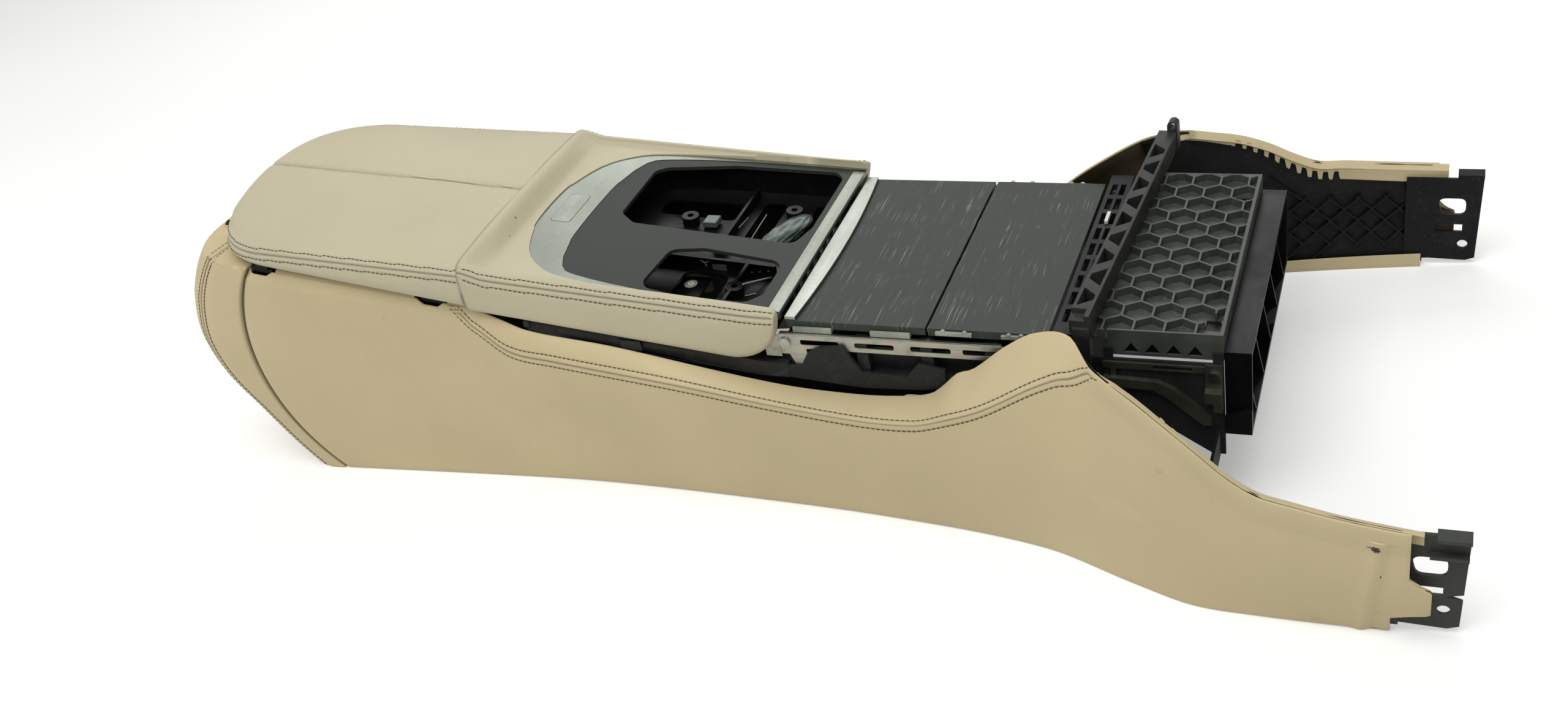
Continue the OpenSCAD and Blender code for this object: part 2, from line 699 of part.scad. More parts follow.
function pad_z(x) = lid_z(x);
function pad_ring(x) =
    let (
        e = pad_front_x - x,
        w = console_half_w + lid_overhang,
        zi = trim_z(x),
        zb = min(pad_z(x) + drop(e, pad_nose_r), zi - 3),
        rear = max(0, min(1, (lid_front_x + 26 - x) / 20)),
        zt = zi + lerp(7, 12, rear) - drop(e, 6) * 0.6,
        zc = lerp(zi + 1, lid_front_z + lid_h_front, rear * rear * (3 - 2 * rear)),
        half = [
            [0, zc], [w * 0.5, lerp(zc, zt, 0.15 * rear)], [w * 0.86, lerp(zi + 1, zt + 1, rear)],
            [w - 10, zt], [w - 4, lerp(zt, zb, 0.07)], [w - 0.8, lerp(zt, zb, 0.2)], [w, lerp(zt, zb, 0.36)],
            [w - 1, lerp(zt, zb, 0.86)], [w - 6, zb]
        ]
    )
    [for (p = half) [x, p[0], p[1]], for (p = reversed([for (i = [1:8]) half[i]])) [x, -p[0], p[1]]];

pad_stations = concat(
    [for (e = [0, 1, 3, 6, 11, 18, 28, 40]) pad_front_x - e], [for (x = [-190:-40:-390]) x],
    [lid_front_x + 26, lid_front_x + 20, lid_front_x + 14, lid_front_x + 7, lid_front_x]
);

// Outline of trim or plate: one edge, a rounded rear end and the edge mirrored
function edge_outline(edge, rear) =
    let (
        e = edge[len(edge) - 1],
        half = [
            for (i = concat([for (k = [0:15:195]) k], [for (k = [203:6:e[0] - 3]) k])) [-i, curve(edge, i)],
            for (a = [0:15:90]) [-lerp(e[0], rear, sin(a)), e[1] * cos(a)]
        ]
    )
    concat(half, [for (p = reversed(half)) if (p[1] > 0.01) [p[0], -p[1]]]);
module trim_outline(grow) polygon(inset(edge_outline(trim_edge, trim_len), -grow));
module plate_outline(grow) polygon(inset(edge_outline(plate_edge, trim_len - trim_rear_w), -grow));

module pad_frame() color("#c9b58f") difference() {
    loft([for (x = reversed(pad_stations)) pad_ring(x)]);
    lid_frame() block([-40, -200, -20], [lid_split, 200, 100]);
    trim_frame() translate([0, 0, -100]) linear_extrude(200) union() {
        trim_outline(seat);
        translate([-5, -123]) square([30, 246]);
    }
}

button_x = trim_rear_w / 2 - 1 - trim_len;
bar_w = 12;
plate_floor_h = 30;

module button_outline(gap) {
    half = button_size / 2 + [gap, gap];
    translate([button_x, 0]) polygon(rounded([-half, [half[0], -half[1]], half, [-half[0], half[1]]], 5));
}

module trim_ring() color("#c4c7ca") trim_frame()
    translate([0, 0, -trim_t]) linear_extrude(trim_t) difference() {
        trim_outline(0);
        plate_outline(seat);
        button_outline(run);
        translate([-bar_w - seat, -118]) square([60, 236]);
    }

module front_bar() color("#c4c7ca") trim_frame()
    translate([-bar_w, seat - 118, -trim_t]) cube([bar_w, 236 - 2 * seat, trim_t]);

module release_button() color("#c9ccd0") trim_frame() {
    translate([0, 0, -3]) linear_extrude(3.2) button_outline(0);
    translate([button_x, 0, -20]) cylinder(r = 4, h = 18);
}

module plate_end() translate([-bar_w - seat, -150]) square([60, 300]);

module shift_plate() color("#4a4d4f") trim_frame()
    translate([0, 0, -0.5 - plate_t]) linear_extrude(plate_t) difference() {
        plate_outline(0);
        plate_end();
        polygon(rounded([for (p = opening_a) [-p[0], p[1]]], 10));
        polygon(rounded([for (p = opening_b) [-p[0], p[1]]], 12));
    }

// Black frame below the plate, with the bosses that show through its openings
carrier_bosses = [[-65, -62], [-107, 8], [-150, 41], [-56, 70]];
rib_top = -20;
floor_holes = [
    [[-190, 0], [-110, 0], [-110, 28], [-190, 28]], [[-190, 54], [-110, 54], [-110, 86], [-190, 80]],
    [[-92, 8], [-70, 8], [-70, 94], [-92, 92]], [[-42, 12], [-28, 12], [-28, 96], [-42, 96]],
    [[-124, -96], [-80, -98], [-80, -34], [-124, -34]]
];

module plate_carrier() color("#17181a") trim_frame() difference() {
    union() {
        translate([0, 0, -plate_floor_h]) linear_extrude(plate_floor_h - plate_t - 0.5 - seat) difference() {
            plate_outline(-2);
            plate_outline(-5);
            plate_end();
        }
        translate([0, 0, -plate_floor_h - 3]) linear_extrude(3.1) difference() {
            plate_outline(-2);
            plate_end();
            for (hole = floor_holes) polygon(rounded(hole, 10));
        }
        block([-105, 0, -plate_floor_h - 1], [-102, 102, rib_top]);
        block([-190, -26, -plate_floor_h - 1], [-40, -23, rib_top]);
        block([-68, -104, -plate_floor_h - 1], [-65, -26, rib_top]);
        for (p = carrier_bosses)
            translate([p[0], p[1], -plate_floor_h - 1]) cylinder(r = 8, h = plate_floor_h + 1 + rib_top);
        for (y = [-90:18:80]) block([-27, y, -plate_floor_h - 1], [-14, y + 2, rib_top - 2]);
    }
    for (p = carrier_bosses) translate([p[0], p[1], -40]) cylinder(r = 3, h = 40);
}

// Slat cover

module slat(x0, x1) difference() {
    block([x0, -slat_half_w, -slat_t], [x1, slat_half_w, 0]);
    block([-8, -62, -slat_t - 1], [8, 62, -2.2]);
}

module rear_slat() color("#33302b") slat(rear_slat_x, -slat_gap / 2);

module front_slat() color("#33302b") {
    slat(slat_gap / 2, slat_front_x);
    for (y = [-35, 21]) difference() {
        union() {
            bore_y(2.3, 0, hinge_z, y, y + 14);
            block([0, y, hinge_z - 1.2], [9, y + 14, hinge_z + 1.2]);
            block([7, y, hinge_z - 1.2], [9, y + 14, -2]);
        }
        bore_y(1.2 + slip, 0, hinge_z, y - 1, y + 15);
    }
}

// Rod that carries the front slat on the rear slat
module fold_hinge() color("#8c8f92") {
    bore_y(1.2, 0, hinge_z, -58, 58);
    for (y = [-58, -5, 48]) {
        block([seat - 8, y, hinge_z - 1.2], [0, y + 10, hinge_z + 1.2]);
        block([seat - 8, y, hinge_z], [-4, y + 10, -2.2 - seat]);
    }
}

// Crescent grip along the rear edge of the rear slat
grip_r = 1020;
module handle_strip() color("#d2d4d6") intersection() {
    translate([rear_slat_x + 15 - grip_r, 0, 0]) cylinder(r = grip_r, h = 3, $fn = 360);
    block([rear_slat_x - 1.5, 1 - slat_half_w, 0], [rear_slat_x + 20, slat_half_w - 1, 3]);
}

// Grey runners beside a slat: a shoe with two rollers
module slider(x0, x1, low, top) {
    block([x0, slat_half_w + 0.1, low], [x1, slider_y, top]);
    for (x = [x0 + 6, x1 - 6]) bore_y(2.2, x, low + 2.3, slat_half_w + 0.1, slider_y);
}
module rear_sliders() color("#9a9da0") both_sides() for (x = [rear_slat_x + 6, -48]) {
    slider(x, x + 34, rail_z + run, -5);
    block([x, slat_half_w - 3, rail_z + run], [x + 34, slat_half_w + 0.2, -slat_t - 0.1]);
}
module front_sliders() color("#9a9da0") both_sides() {
    slider(8, 38, -4.5, -1.6);
    slider(62, 84, -4.5, -1.6);
}

// Stamped rail: a slotted web, and the bright strip beside it that the runners ride on
module runner_strip() color("#d2d4d2")
    block([rail_rear_x, rail_y, rail_z - rail_t], [strip_end_x, web_y - seat, rail_z]);
module guide_rail() color("#c6c8c8") difference() {
    union() {
        block([rail_rear_x, web_y, -24], [slat_front_x + 8, web_y + rail_t, rail_z]);
        side_plate(web_y, web_y + rail_t, [
            [rail_rear_x, -23], [rail_rear_x, -30], [rail_rear_x + 7, -30], [rail_rear_x + 12, -42],
            [rail_rear_x + 23, -42], [rail_rear_x + 23, -23]
        ]);
    }
    for (x = [-110, -62, -14, 30])
        side_plate(0, 200, rounded([[x, -20], [x + 34, -20], [x + 34, -15], [x, -15]], 2));
    bore_y(2.4, rail_rear_x + 5, -18, 0, 200);
}

module screw(r, x, z, y, reach) {
    bore_y(r, x, z, y, y + reach);
    bore_y(2 * r, x, z, y + reach, y + reach + 2);
}
module rail_screws() color("#d6d8da") both_sides() screw(2.4, rail_rear_x + 5, -18, web_y, rail_t);

// Slotted rail and curved guide under the ribbed cover; the guide follows the folding slat's tip
tip_x = slat_travel + front_slat_len * cos(slat_fold);
tip_z = hinge_z - front_slat_len * sin(slat_fold);

module front_rail() color("#b8bbb8") {
    difference() {
        block([cover_x + 8, front_rail_y, -22], [cover_front_x - 14, front_rail_y + 2, -16]);
        side_plate(0, 200, rounded([
            [cover_x + 46, -20.5], [cover_x + 76, -20.5], [cover_x + 76, -17.5], [cover_x + 46, -17.5]
        ], 1.4));
    }
    side_plate(front_rail_y, front_rail_y + 5, [
        [cover_x + 8, -37], [cover_x + 8, -29], [cover_x + 50, -31], [cover_x + 62, -37],
        [tip_x + 20, tip_z - 4], [tip_x + 20, tip_z - 12], [tip_x + 14, tip_z - 12],
        [cover_x + 56, -45], [cover_x + 46, -39]
    ]);
    block([cover_x + 14, front_rail_y, -31], [cover_x + 18, front_rail_y + 2, -20]);
}

module clamp_bracket() color("#aab0ac") difference() {
    union() {
        block([cover_front_x - 14 + seat, front_rail_y, -36], [cover_front_x - 1, front_rail_y + 2, -14]);
        block([cover_front_x - 14 + seat, front_rail_y, -46], [cover_front_x - 1, front_rail_y + 8, -36]);
        block([cover_front_x - 8, front_rail_y, -56], [cover_front_x - 1, front_rail_y + 5, -45]);
    }
    bore_y(2.2, cover_front_x - 7, -24, 0, 300);
}
module clamp_screws() color("#d6d8da") both_sides() screw(2.2, cover_front_x - 7, -24, front_rail_y, 2);

// Cup tray under the slats

tray_rear_x = rear_slat_x + 4;
tray_front_x = frame_front_x - 3;
tray_seat_z = tray_rim_z - wall - seat;
tray_half_w = frame_y - seat;
cup_x = tray_rear_x + wall + cup_r + 6;
cup_y = cup_r + 6;

module tray_body(grow) {
    top = grow > 0 ? tray_rim_z + 20 : tray_rim_z;
    trough = frame_y - 12 - grow;
    for (y = [-cup_y, cup_y]) translate([cup_x, y, tray_rim_z - cup_depth + grow])
        cylinder(r = cup_r + wall - grow, h = top - tray_rim_z + cup_depth - grow, $fn = 72);
    soft_block(
        [cup_x - 18 + grow, -30 + grow, tray_rim_z - 40 + grow], [cup_x + 18 - grow, 30 - grow, top], 8
    );
    soft_block(
        [cup_x + cup_r + 6 + grow, -trough, tray_rim_z - 24 + grow], [tray_front_x - 6 - grow, trough, top],
        14 - grow
    );
}
module cup_tray() color("#202124") difference() {
    union() {
        soft_block([tray_rear_x, -tray_half_w, tray_rim_z - wall], [tray_front_x, tray_half_w, tray_rim_z], 6);
        tray_body(0);
    }
    tray_body(wall);
}

// Ribbed front cover

row_pitch = cell_pitch * sqrt(3) / 2;

module honeycomb() difference() {
    square([cover_len, 2 * cover_half_w]);
    for (row = [0:12], col = [-1:4])
        translate([cell_pitch * (col + (row % 2) / 2) + 8, 2 * cover_half_w - 2.5 - row_pitch * (row + 0.5)])
            rotate(30) circle(r = (cell_pitch - cell_wall) / sqrt(3), $fn = 6);
}

module cover_hooks()
    for (y = [22, 2 * cover_half_w - 36]) translate([cover_len - 10, y]) square([12, 14], center = true);

module honeycomb_cover() color("#2b2e2e") difference() {
    translate([cover_x, -cover_half_w, 0]) {
        translate([0, 0, cover_z - cell_h]) linear_extrude(cell_h) honeycomb();
        translate([0, 0, cover_z - cell_h - 2]) cube([cover_len, 2 * cover_half_w, 2.1]);
        translate([cover_len - 3, 0, -12]) cube([3, 2 * cover_half_w, cover_z + 12]);
        for (y = [0, 2 * cover_half_w - 2]) translate([12, y, -12]) cube([cover_len - 12, 2, cover_z + 12]);
    }
    translate([cover_x, -cover_half_w, -1]) linear_extrude(30) cover_hooks();
    both_sides() for (x = [cover_x + 24:16:cover_front_x - 16])
        side_plate(cover_half_w - 3, cover_half_w + 1, [[x, -9], [x + 12, -9], [x + 6, -0.5]]);
}

// Cross brace: a flat truss with a leg at the right side and a bored ear at the left

brace_x = slat_front_x + 37;
brace_z = cover_z + seat;
brace_far_y = console_half_w + 38;
brace_near_y = -console_half_w;

// Windows between diagonals that lean to and fro, wide now at one side and now at the other
module truss(len_y, w) difference() {
    rail = 2.6;
    square([w, len_y]);
    for (i = [0:floor(len_y / truss_pitch) - 1]) {
        y = 4 + i * truss_pitch;
        wide = i % 2 == 0 ? rail : w - rail;
        polygon([
            [wide, y], [wide, y + truss_pitch - 4],
            [w - wide, y + truss_pitch * 0.62 - 2], [w - wide, y + truss_pitch * 0.38 - 2]
        ]);
    }
}

module brace_frame() translate([brace_x, 0, brace_z]) rotate(-brace_turn) children();

module cross_brace() color("#26282a") difference() {
    union() {
        brace_frame() {
            translate([-brace_w / 2, brace_near_y + 8, 0]) {
                linear_extrude(brace_h) truss(brace_far_y - brace_near_y - 8, brace_w);
                cube([brace_w, brace_far_y - brace_near_y - 8, 1.6]);
            }
            translate([-brace_w / 2, brace_near_y - 2, 0]) cube([brace_w, 11, brace_h - 5]);
            translate([brace_w / 2 - 4, brace_near_y - 2, 0]) cube([4, 11, brace_h]);
            translate([0, brace_far_y - 4, 0]) cube([9, 10, brace_h + 6]);
            bore_y(4.5, 4.5, brace_h + 6, brace_far_y - 4, brace_far_y + 6);
        }
        brace_foot(brace_z, brace_z + 6);
    }
    brace_frame() bore_y(ear_bore_r, 4.5, brace_h + 6, brace_far_y - 5, brace_far_y + 7);
}

// Near end of the brace outside the cover's arm, and the leg that carries it
module brace_foot(z0, z1)
    block([brace_x - 14, -console_half_w - 4, z0], [brace_x - 1, -arm_y - arm_t - seat, z1]);
module brace_leg() color("#26282a") brace_foot(beam_z + 6, brace_z - seat);

strip_z = 1.2;
module clip_strip() color("#1d1e20") translate([strip_x, -arm_y - arm_t, strip_z]) difference() {
    cube([strip_w, 2 * (arm_y + arm_t), 5]);
    for (i = [0:8], x = [4, 11.5]) translate([x, 16 + i * 24.5, -1]) cube([4.5, 18, 7]);
}

module spring_clip() color("#d9d9d2") translate([strip_x + 9, 40, strip_z + 5]) cube([3, 16, 3]);

// Black housing in front of the ribbed cover, with gussets
housing_x = cover_front_x + seat;

module front_housing() color("#141517") {
    half = cover_half_w;
    difference() {
        block([housing_x, -half, -78], [housing_x + 20, half, -4]);
        block([housing_x + 3, 3 - half, -74], [housing_x + 30, half - 3, -8]);
    }
    for (y = [-96, -48, 0, 48, 96]) side_plate(y - 1.2, y + 1.2, [
        [housing_x + 2, -76], [housing_x + 20, -76], [housing_x + 8, -6], [housing_x + 2, -6]
    ]);
    side_plate(-half - 4, 2 - half, [
        [housing_x, -78], [housing_x + 20, -78], [housing_x + 20, -56], [housing_x, -62]
    ]);
}

// Nodes

on_floor() right() side_panel();  // side_panel_right
on_floor() side_panel();  // side_panel_left
on_floor() right() difference() {  // side_carrier_right
    side_carrier();
    bracket_crack();
}
on_floor() side_carrier();  // side_carrier_left
on_floor() rear_panel();
on_floor() carrier_frame();
on_floor() right() rail_beam();  // rail_beam_right
on_floor() rail_beam();  // rail_beam_left
on_floor() right() cover_arm();  // cover_arm_right
on_floor() cover_arm();  // cover_arm_left
on_floor() storage_bin();
on_floor() bin_mat();
on_floor() right() armrest_pad();  // armrest_pad_right
on_floor() armrest_pad();  // armrest_pad_left
on_floor() right() lid_pan();  // lid_pan_right
on_floor() lid_pan();  // lid_pan_left
on_floor() right() hinge_pins();  // hinge_pins_right
on_floor() hinge_pins();  // hinge_pins_left
on_floor() latch_housing();
on_floor() pad_frame();
on_floor() trim_ring();
on_floor() front_bar();
on_floor() release_button();
on_floor() shift_plate();
on_floor() plate_carrier();
on_floor() rear_slat();
on_floor() front_slat();
on_floor() handle_strip();
on_floor() rear_sliders();
on_floor() front_sliders();
on_floor() fold_hinge();
on_floor() right() guide_rail();  // guide_rail_right
on_floor() guide_rail();  // guide_rail_left
on_floor() right() runner_strip();  // runner_strip_right
on_floor() runner_strip();  // runner_strip_left
on_floor() right() front_rail();  // front_rail_right
on_floor() front_rail();  // front_rail_left
on_floor() right() clamp_bracket();  // clamp_bracket_right
on_floor() clamp_bracket();  // clamp_bracket_left
on_floor() cup_tray();
on_floor() honeycomb_cover();
on_floor() cross_brace();
on_floor() brace_leg();
on_floor() clip_strip();
on_floor() spring_clip();
on_floor() front_housing();
on_floor() rail_screws();
on_floor() clamp_screws();
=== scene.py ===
"""Centre console of a saloon car, dressed for the photograph.

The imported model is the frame. Leather parts are rebuilt as rolled and stitched hides, metal and
plastic parts keep their shape and get bevelled edges, and every surface gets a node material.
"""

import json
import math

import bmesh
import bpy
from mathutils import Matrix, Vector

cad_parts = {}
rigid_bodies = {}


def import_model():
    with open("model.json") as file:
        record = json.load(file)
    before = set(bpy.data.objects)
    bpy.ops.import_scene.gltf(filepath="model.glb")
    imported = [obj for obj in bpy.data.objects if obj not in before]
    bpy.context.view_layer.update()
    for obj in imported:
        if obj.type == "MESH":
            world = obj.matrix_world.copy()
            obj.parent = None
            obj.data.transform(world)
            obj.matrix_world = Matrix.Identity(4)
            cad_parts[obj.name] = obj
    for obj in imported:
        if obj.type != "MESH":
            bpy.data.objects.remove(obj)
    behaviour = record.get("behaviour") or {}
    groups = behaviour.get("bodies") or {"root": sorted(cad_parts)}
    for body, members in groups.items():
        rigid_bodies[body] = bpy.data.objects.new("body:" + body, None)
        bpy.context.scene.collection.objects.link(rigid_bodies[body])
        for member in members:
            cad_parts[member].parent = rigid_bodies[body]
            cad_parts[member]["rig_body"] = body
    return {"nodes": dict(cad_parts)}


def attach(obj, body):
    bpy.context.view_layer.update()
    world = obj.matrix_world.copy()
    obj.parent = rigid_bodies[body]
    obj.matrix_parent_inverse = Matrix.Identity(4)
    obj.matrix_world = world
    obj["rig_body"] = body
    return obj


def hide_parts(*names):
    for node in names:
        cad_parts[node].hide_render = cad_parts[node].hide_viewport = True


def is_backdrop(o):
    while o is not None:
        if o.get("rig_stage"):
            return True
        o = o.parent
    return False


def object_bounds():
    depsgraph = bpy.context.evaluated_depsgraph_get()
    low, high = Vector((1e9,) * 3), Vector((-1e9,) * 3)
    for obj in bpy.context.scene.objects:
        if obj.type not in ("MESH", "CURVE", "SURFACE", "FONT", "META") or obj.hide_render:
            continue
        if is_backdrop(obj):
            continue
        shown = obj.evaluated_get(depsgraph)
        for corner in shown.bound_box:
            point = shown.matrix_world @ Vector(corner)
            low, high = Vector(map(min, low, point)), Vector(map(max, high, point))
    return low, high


bl_info = {
    "name": "Centre console",
    "version": (1, 0, 0),
    "blender": (4, 5, 0),
    "location": "View3D > Sidebar > Console",
    "description": "Leather, stitching, metal and plastics for a car centre console",
    "category": "Add Mesh",
}

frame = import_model()
cad_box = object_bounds()

MM = 0.001

# Deck frame of the console: X forward, Y left, Z square to the slats, millimetres
DECK_TILT = math.radians(3.7)
DECK_HEIGHT = 172.0
CENTRE_X = -191.3
HALF_W = 128.0
BELLY = 4.0
SEAM_X = -517.0
SEAM_Z = -82.0
SEAM_R = 187.0
SEAM_GAP = 0.8
CORNER_R = 50.0
LID_X = -427.0
LID_Z = -1.0
LID_TILT = math.radians(7.4)
LID_LEN = 293.0
LID_GAP = 3.8
OVERHANG = 5.0
TRIM_X = -126.0
TRIM_Z = 8.0
TRIM_TILT = math.radians(5.1)
NOSE_R = 50.0
ARM_END = 372.0

HINGE_DROP = 7.0
HINGE_Y = HALF_W - 13

# Hides: thickness of the side and rear leather, and steps of their rolled edges
SIDE_HIDE = 2.6
REAR_HIDE = 2.8
ROLL = 5


def deck(x, y, z):
    """Point of the deck frame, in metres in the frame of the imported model."""
    c = math.cos(DECK_TILT)
    s = math.sin(DECK_TILT)
    return Vector((x * c + z * s - CENTRE_X, y, DECK_HEIGHT - x * s + z * c)) * MM


def on_floor(p):
    """The point, lifted to the floor where it would lie below it."""
    return Vector((p.x, p.y, max(p.z, 0.0)))


def deck_turn(v):
    """Direction of the deck frame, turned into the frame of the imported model."""
    c = math.cos(DECK_TILT)
    s = math.sin(DECK_TILT)
    return Vector((v[0] * c + v[2] * s, v[1], v[2] * c - v[0] * s))


def tilted(x, y, z, x0, z0, angle):
    """Point of a frame that is tilted by angle and starts at (x0, z0) of the deck frame."""
    c = math.cos(angle)
    s = math.sin(angle)
    return (x0 + x * c + z * s, y, z0 - x * s + z * c)


def lid_point(x, y, z):
    return tilted(x, y, z, LID_X, LID_Z, LID_TILT)


def trim_point(x, y, z):
    return tilted(x, y, z, TRIM_X, TRIM_Z, TRIM_TILT)


def floor_z(x):
    return x * math.tan(DECK_TILT) - DECK_HEIGHT / math.cos(DECK_TILT)


def lid_z(x):
    return LID_Z - (x - LID_X) * math.tan(LID_TILT)


def trim_z(x):
    return TRIM_Z - (x - TRIM_X) * math.tan(TRIM_TILT)


# Body lines: station along X, distance outside HALF_W and, where it has one, height
BOTTOM_LINE = [
    (-720, -7), (-657, -6), (-455, -5.5), (-340, -3), (-190, 9), (-40, 26), (95, 52),
    (177, 88), (222, 106), (268, 112), (345, 117), (395, 118),
]
STITCH_LINE = [
    (-720, -2.5, lid_z(-720) - 17), (-450, -2.5, lid_z(-450) - 17), (-430, 0, -20), (-393, 8, -40),
    (-347, 13, -44), (-224, 22, -53), (-138, 28, -61), (-54, 34, -66), (-7, 38, -63), (15, 40, -56),
    (54, 43, -39), (105, 46, -7), (130, 50, 2), (181, 80, -12), (204, 92, -22), (227, 102, -36),
    (248, 109, -52), (269, 114, -62), (291, 118, -64), (331, 123, -68), (395, 128, -72),
]
TOP_LINE = [
    (-720, -7.5, lid_z(-720) - LID_GAP), (-450, -7.5, lid_z(-450) - LID_GAP),
    (-430, -7.5, lid_z(-430) - LID_GAP), (-400, -2, -11), (-370, 2, -19), (-286, 3, -29),
    (-135, 3, -56), (-64, 3, -61), (-21, 3, -59), (2, 3, -54), (14, 3, -44), (26, 3, -32),
    (40, 4, -26), (68, 5, -2), (94, 8, 15), (125, 25, 26), (144, 52, 19), (157, 64, 15),
    (181, 77, 6), (204, 90, -4), (227, 100, -17), (248, 107, -31), (269, 112, -41), (291, 117, -43),
    (331, 123, -47), (395, 129, -51),
]
REAR_LINE = [
    (-230, -700), (-192, -728), (-144, -755), (-103, -778), (-60, -786), (-20, -777), (10, -762),
    (32, -746), (44, -733), (50, -722),
]
REAR_FLARE = [(-230, -6.5), (-150, -2), (-70, 0), (-20, -1), (5, -2.5), (50, -7.5)]
TRIM_EDGE = [(0, 123), (120, 119), (212, 109), (241, 94), (259, 72), (270, 40)]


def lerp(a, b, t):
    return a + (b - a) * t


def clamp(v, low=0.0, high=1.0):
    return max(low, min(high, v))


def ease(t):
    t = clamp(t)
    return t * t * (3 - 2 * t)


def direction(a, b):
    """Unit vector from one flat point to another."""
    length = math.dist(a, b) or 1.0
    return ((b[0] - a[0]) / length, (b[1] - a[1]) / length)


def neighbours(points, i):
    """The points before and after point i, or the point itself at an end."""
    return points[max(i - 1, 0)], points[min(i + 1, len(points) - 1)]


def normal_left(a, b):
    """Unit vector square to a line that goes from a to b, on its left."""
    u = direction(a, b)
    return (-u[1], u[0])


def normal_right(a, b):
    """Unit vector square to a line that goes from a to b, on its right."""
    u = direction(a, b)
    return (u[1], -u[0])


def curve(rows, x, k=1):
    """Smooth value of column k at x, through every row."""
    i = 0
    while i < len(rows) - 2 and x >= rows[i + 1][0]:
        i += 1

    def slope(j):
        a, b = neighbours(rows, j)
        return (b[k] - a[k]) / (b[0] - a[0])

    a = rows[i]
    b = rows[i + 1]
    w = b[0] - a[0]
    u = (x - a[0]) / w
    ends = a[k] * (2 * u**3 - 3 * u * u + 1) + b[k] * (3 * u * u - 2 * u**3)
    return ends + w * slope(i) * (u**3 - 2 * u * u + u) + w * slope(i + 1) * (u**3 - u * u)


def drop(e, r):
    """How far a rounded edge of radius r has fallen at distance e from its end."""
    return r - math.sqrt(r * r - (r - e) ** 2) if 0 <= e < r else 0.0


def bell(x, middle, width):
    """Smooth bump that is 1 at its middle and fades out within about two widths."""
    return math.exp(-(((x - middle) / width) ** 2))


def smooth_path(points, steps):
    """Catmull-Rom line through flat points, with a number of steps for each stretch."""
    out = []
    n = len(points)
    for i in range(n - 1):
        p0 = points[max(i - 1, 0)]
        p1 = points[i]
        p2 = points[i + 1]
        p3 = points[min(i + 2, n - 1)]
        for j in range(steps):
            t = j / steps
            out.append(tuple(
                0.5 * (2 * b + (c - a) * t + (2 * a - 5 * b + 4 * c - d) * t * t
                       + (3 * b - a - 3 * c + d) * t**3)
                for a, b, c, d in zip(p0, p1, p2, p3)
            ))
    return out + [tuple(points[-1])]


# Meshes


def linked(name, data):
    """A new object with its data, in the scene."""
    obj = bpy.data.objects.new(name, data)
    bpy.context.scene.collection.objects.link(obj)
    return obj


def new_mesh(name, verts, faces, edges=()):
    """A mesh from its points, faces and loose edges."""
    mesh = bpy.data.meshes.new(name)
    mesh.from_pydata(verts, edges, faces)
    return mesh


def finish_object(name, mesh, body, material, replaced=(), sharp=40):
    """Links a mesh as a piece of the console that rides on a body."""
    obj = linked(name, mesh)
    mesh.materials.clear()
    mesh.materials.append(material)
    for poly in mesh.polygons:
        poly.use_smooth = True
    mesh.set_sharp_from_angle(angle=math.radians(sharp))
    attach(obj, body)
    if replaced:
        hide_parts(*replaced)
    return obj


def skin_faces(rows):
    """Four-sided faces between rows of points, each row a closed ring."""
    n = len(rows[0])
    return [(i * n + j, i * n + (j + 1) % n, (i + 1) * n + (j + 1) % n, (i + 1) * n + j)
            for i in range(len(rows) - 1) for j in range(n)]


def set_painted_shade(mesh, rows):
    """Keeps one number per point as the attribute 'tone', the painted shade that darkens the leather
    in seams, gaps and along rolled edges.
    """
    tone = mesh.attributes.new("tone", "FLOAT", "POINT")
    tone.data.foreach_set("value", [t for row in rows for t in row])


def grid_mesh(name, rows, caps=False, tint=None):
    """Skin over closed rings of points, with its ends capped and its painted shade where one is given.
    """
    n = len(rows[0])
    faces = skin_faces(rows)
    if caps:
        last = (len(rows) - 1) * n
        for j in range(n // 2 - 1):
            k = n - 1 - j
            faces.append((j, k, k - 1, j + 1))
            faces.append((last + j, last + j + 1, last + k - 1, last + k))
    mesh = new_mesh(name, [p for row in rows for p in row], faces)
    if tint is not None:
        set_painted_shade(mesh, tint)
    return outward(mesh)


def outward(mesh, merge=0.0):
    """Turns the faces of a closed mesh outwards, once points nearer than merge are made one."""
    bm = bmesh.new()
    bm.from_mesh(mesh)
    if merge:
        bmesh.ops.remove_doubles(bm, verts=bm.verts, dist=merge)
        bmesh.ops.triangulate(bm, faces=[f for f in bm.faces if len(f.verts) > 4])
    bmesh.ops.recalc_face_normals(bm, faces=bm.faces)
    bm.to_mesh(mesh)
    bm.free()
    return mesh


def mirrored(rows):
    return [[Vector((p.x, -p.y, p.z)) for p in row] for row in rows]


def ring_about(outer, thickness, roll=ROLL):
    """Closed section of a hide: its outer line, a rolled edge, its back, and a rolled hem."""
    normals = [normal_right(*neighbours(outer, i)) for i in range(len(outer))]
    ring = list(outer)
    half = thickness / 2

    def edge(p, n, along):
        centre = (p[0] - n[0] * half, p[1] - n[1] * half)
        for k in range(1, roll):
            angle = math.pi * k / roll
            c = math.cos(angle) * half
            s = math.sin(angle) * half
            ring.append((centre[0] + n[0] * c + along[0] * s, centre[1] + n[1] * c + along[1] * s))

    edge(outer[-1], normals[-1], direction(outer[-2], outer[-1]))
    for p, n in zip(reversed(outer), reversed(normals)):
        ring.append((p[0] - n[0] * thickness, p[1] - n[1] * thickness))
    back = len(ring)
    edge(outer[0], normals[0], direction(outer[1], outer[0]))
    ring[back:] = reversed(ring[back:])
    return ring


# Materials


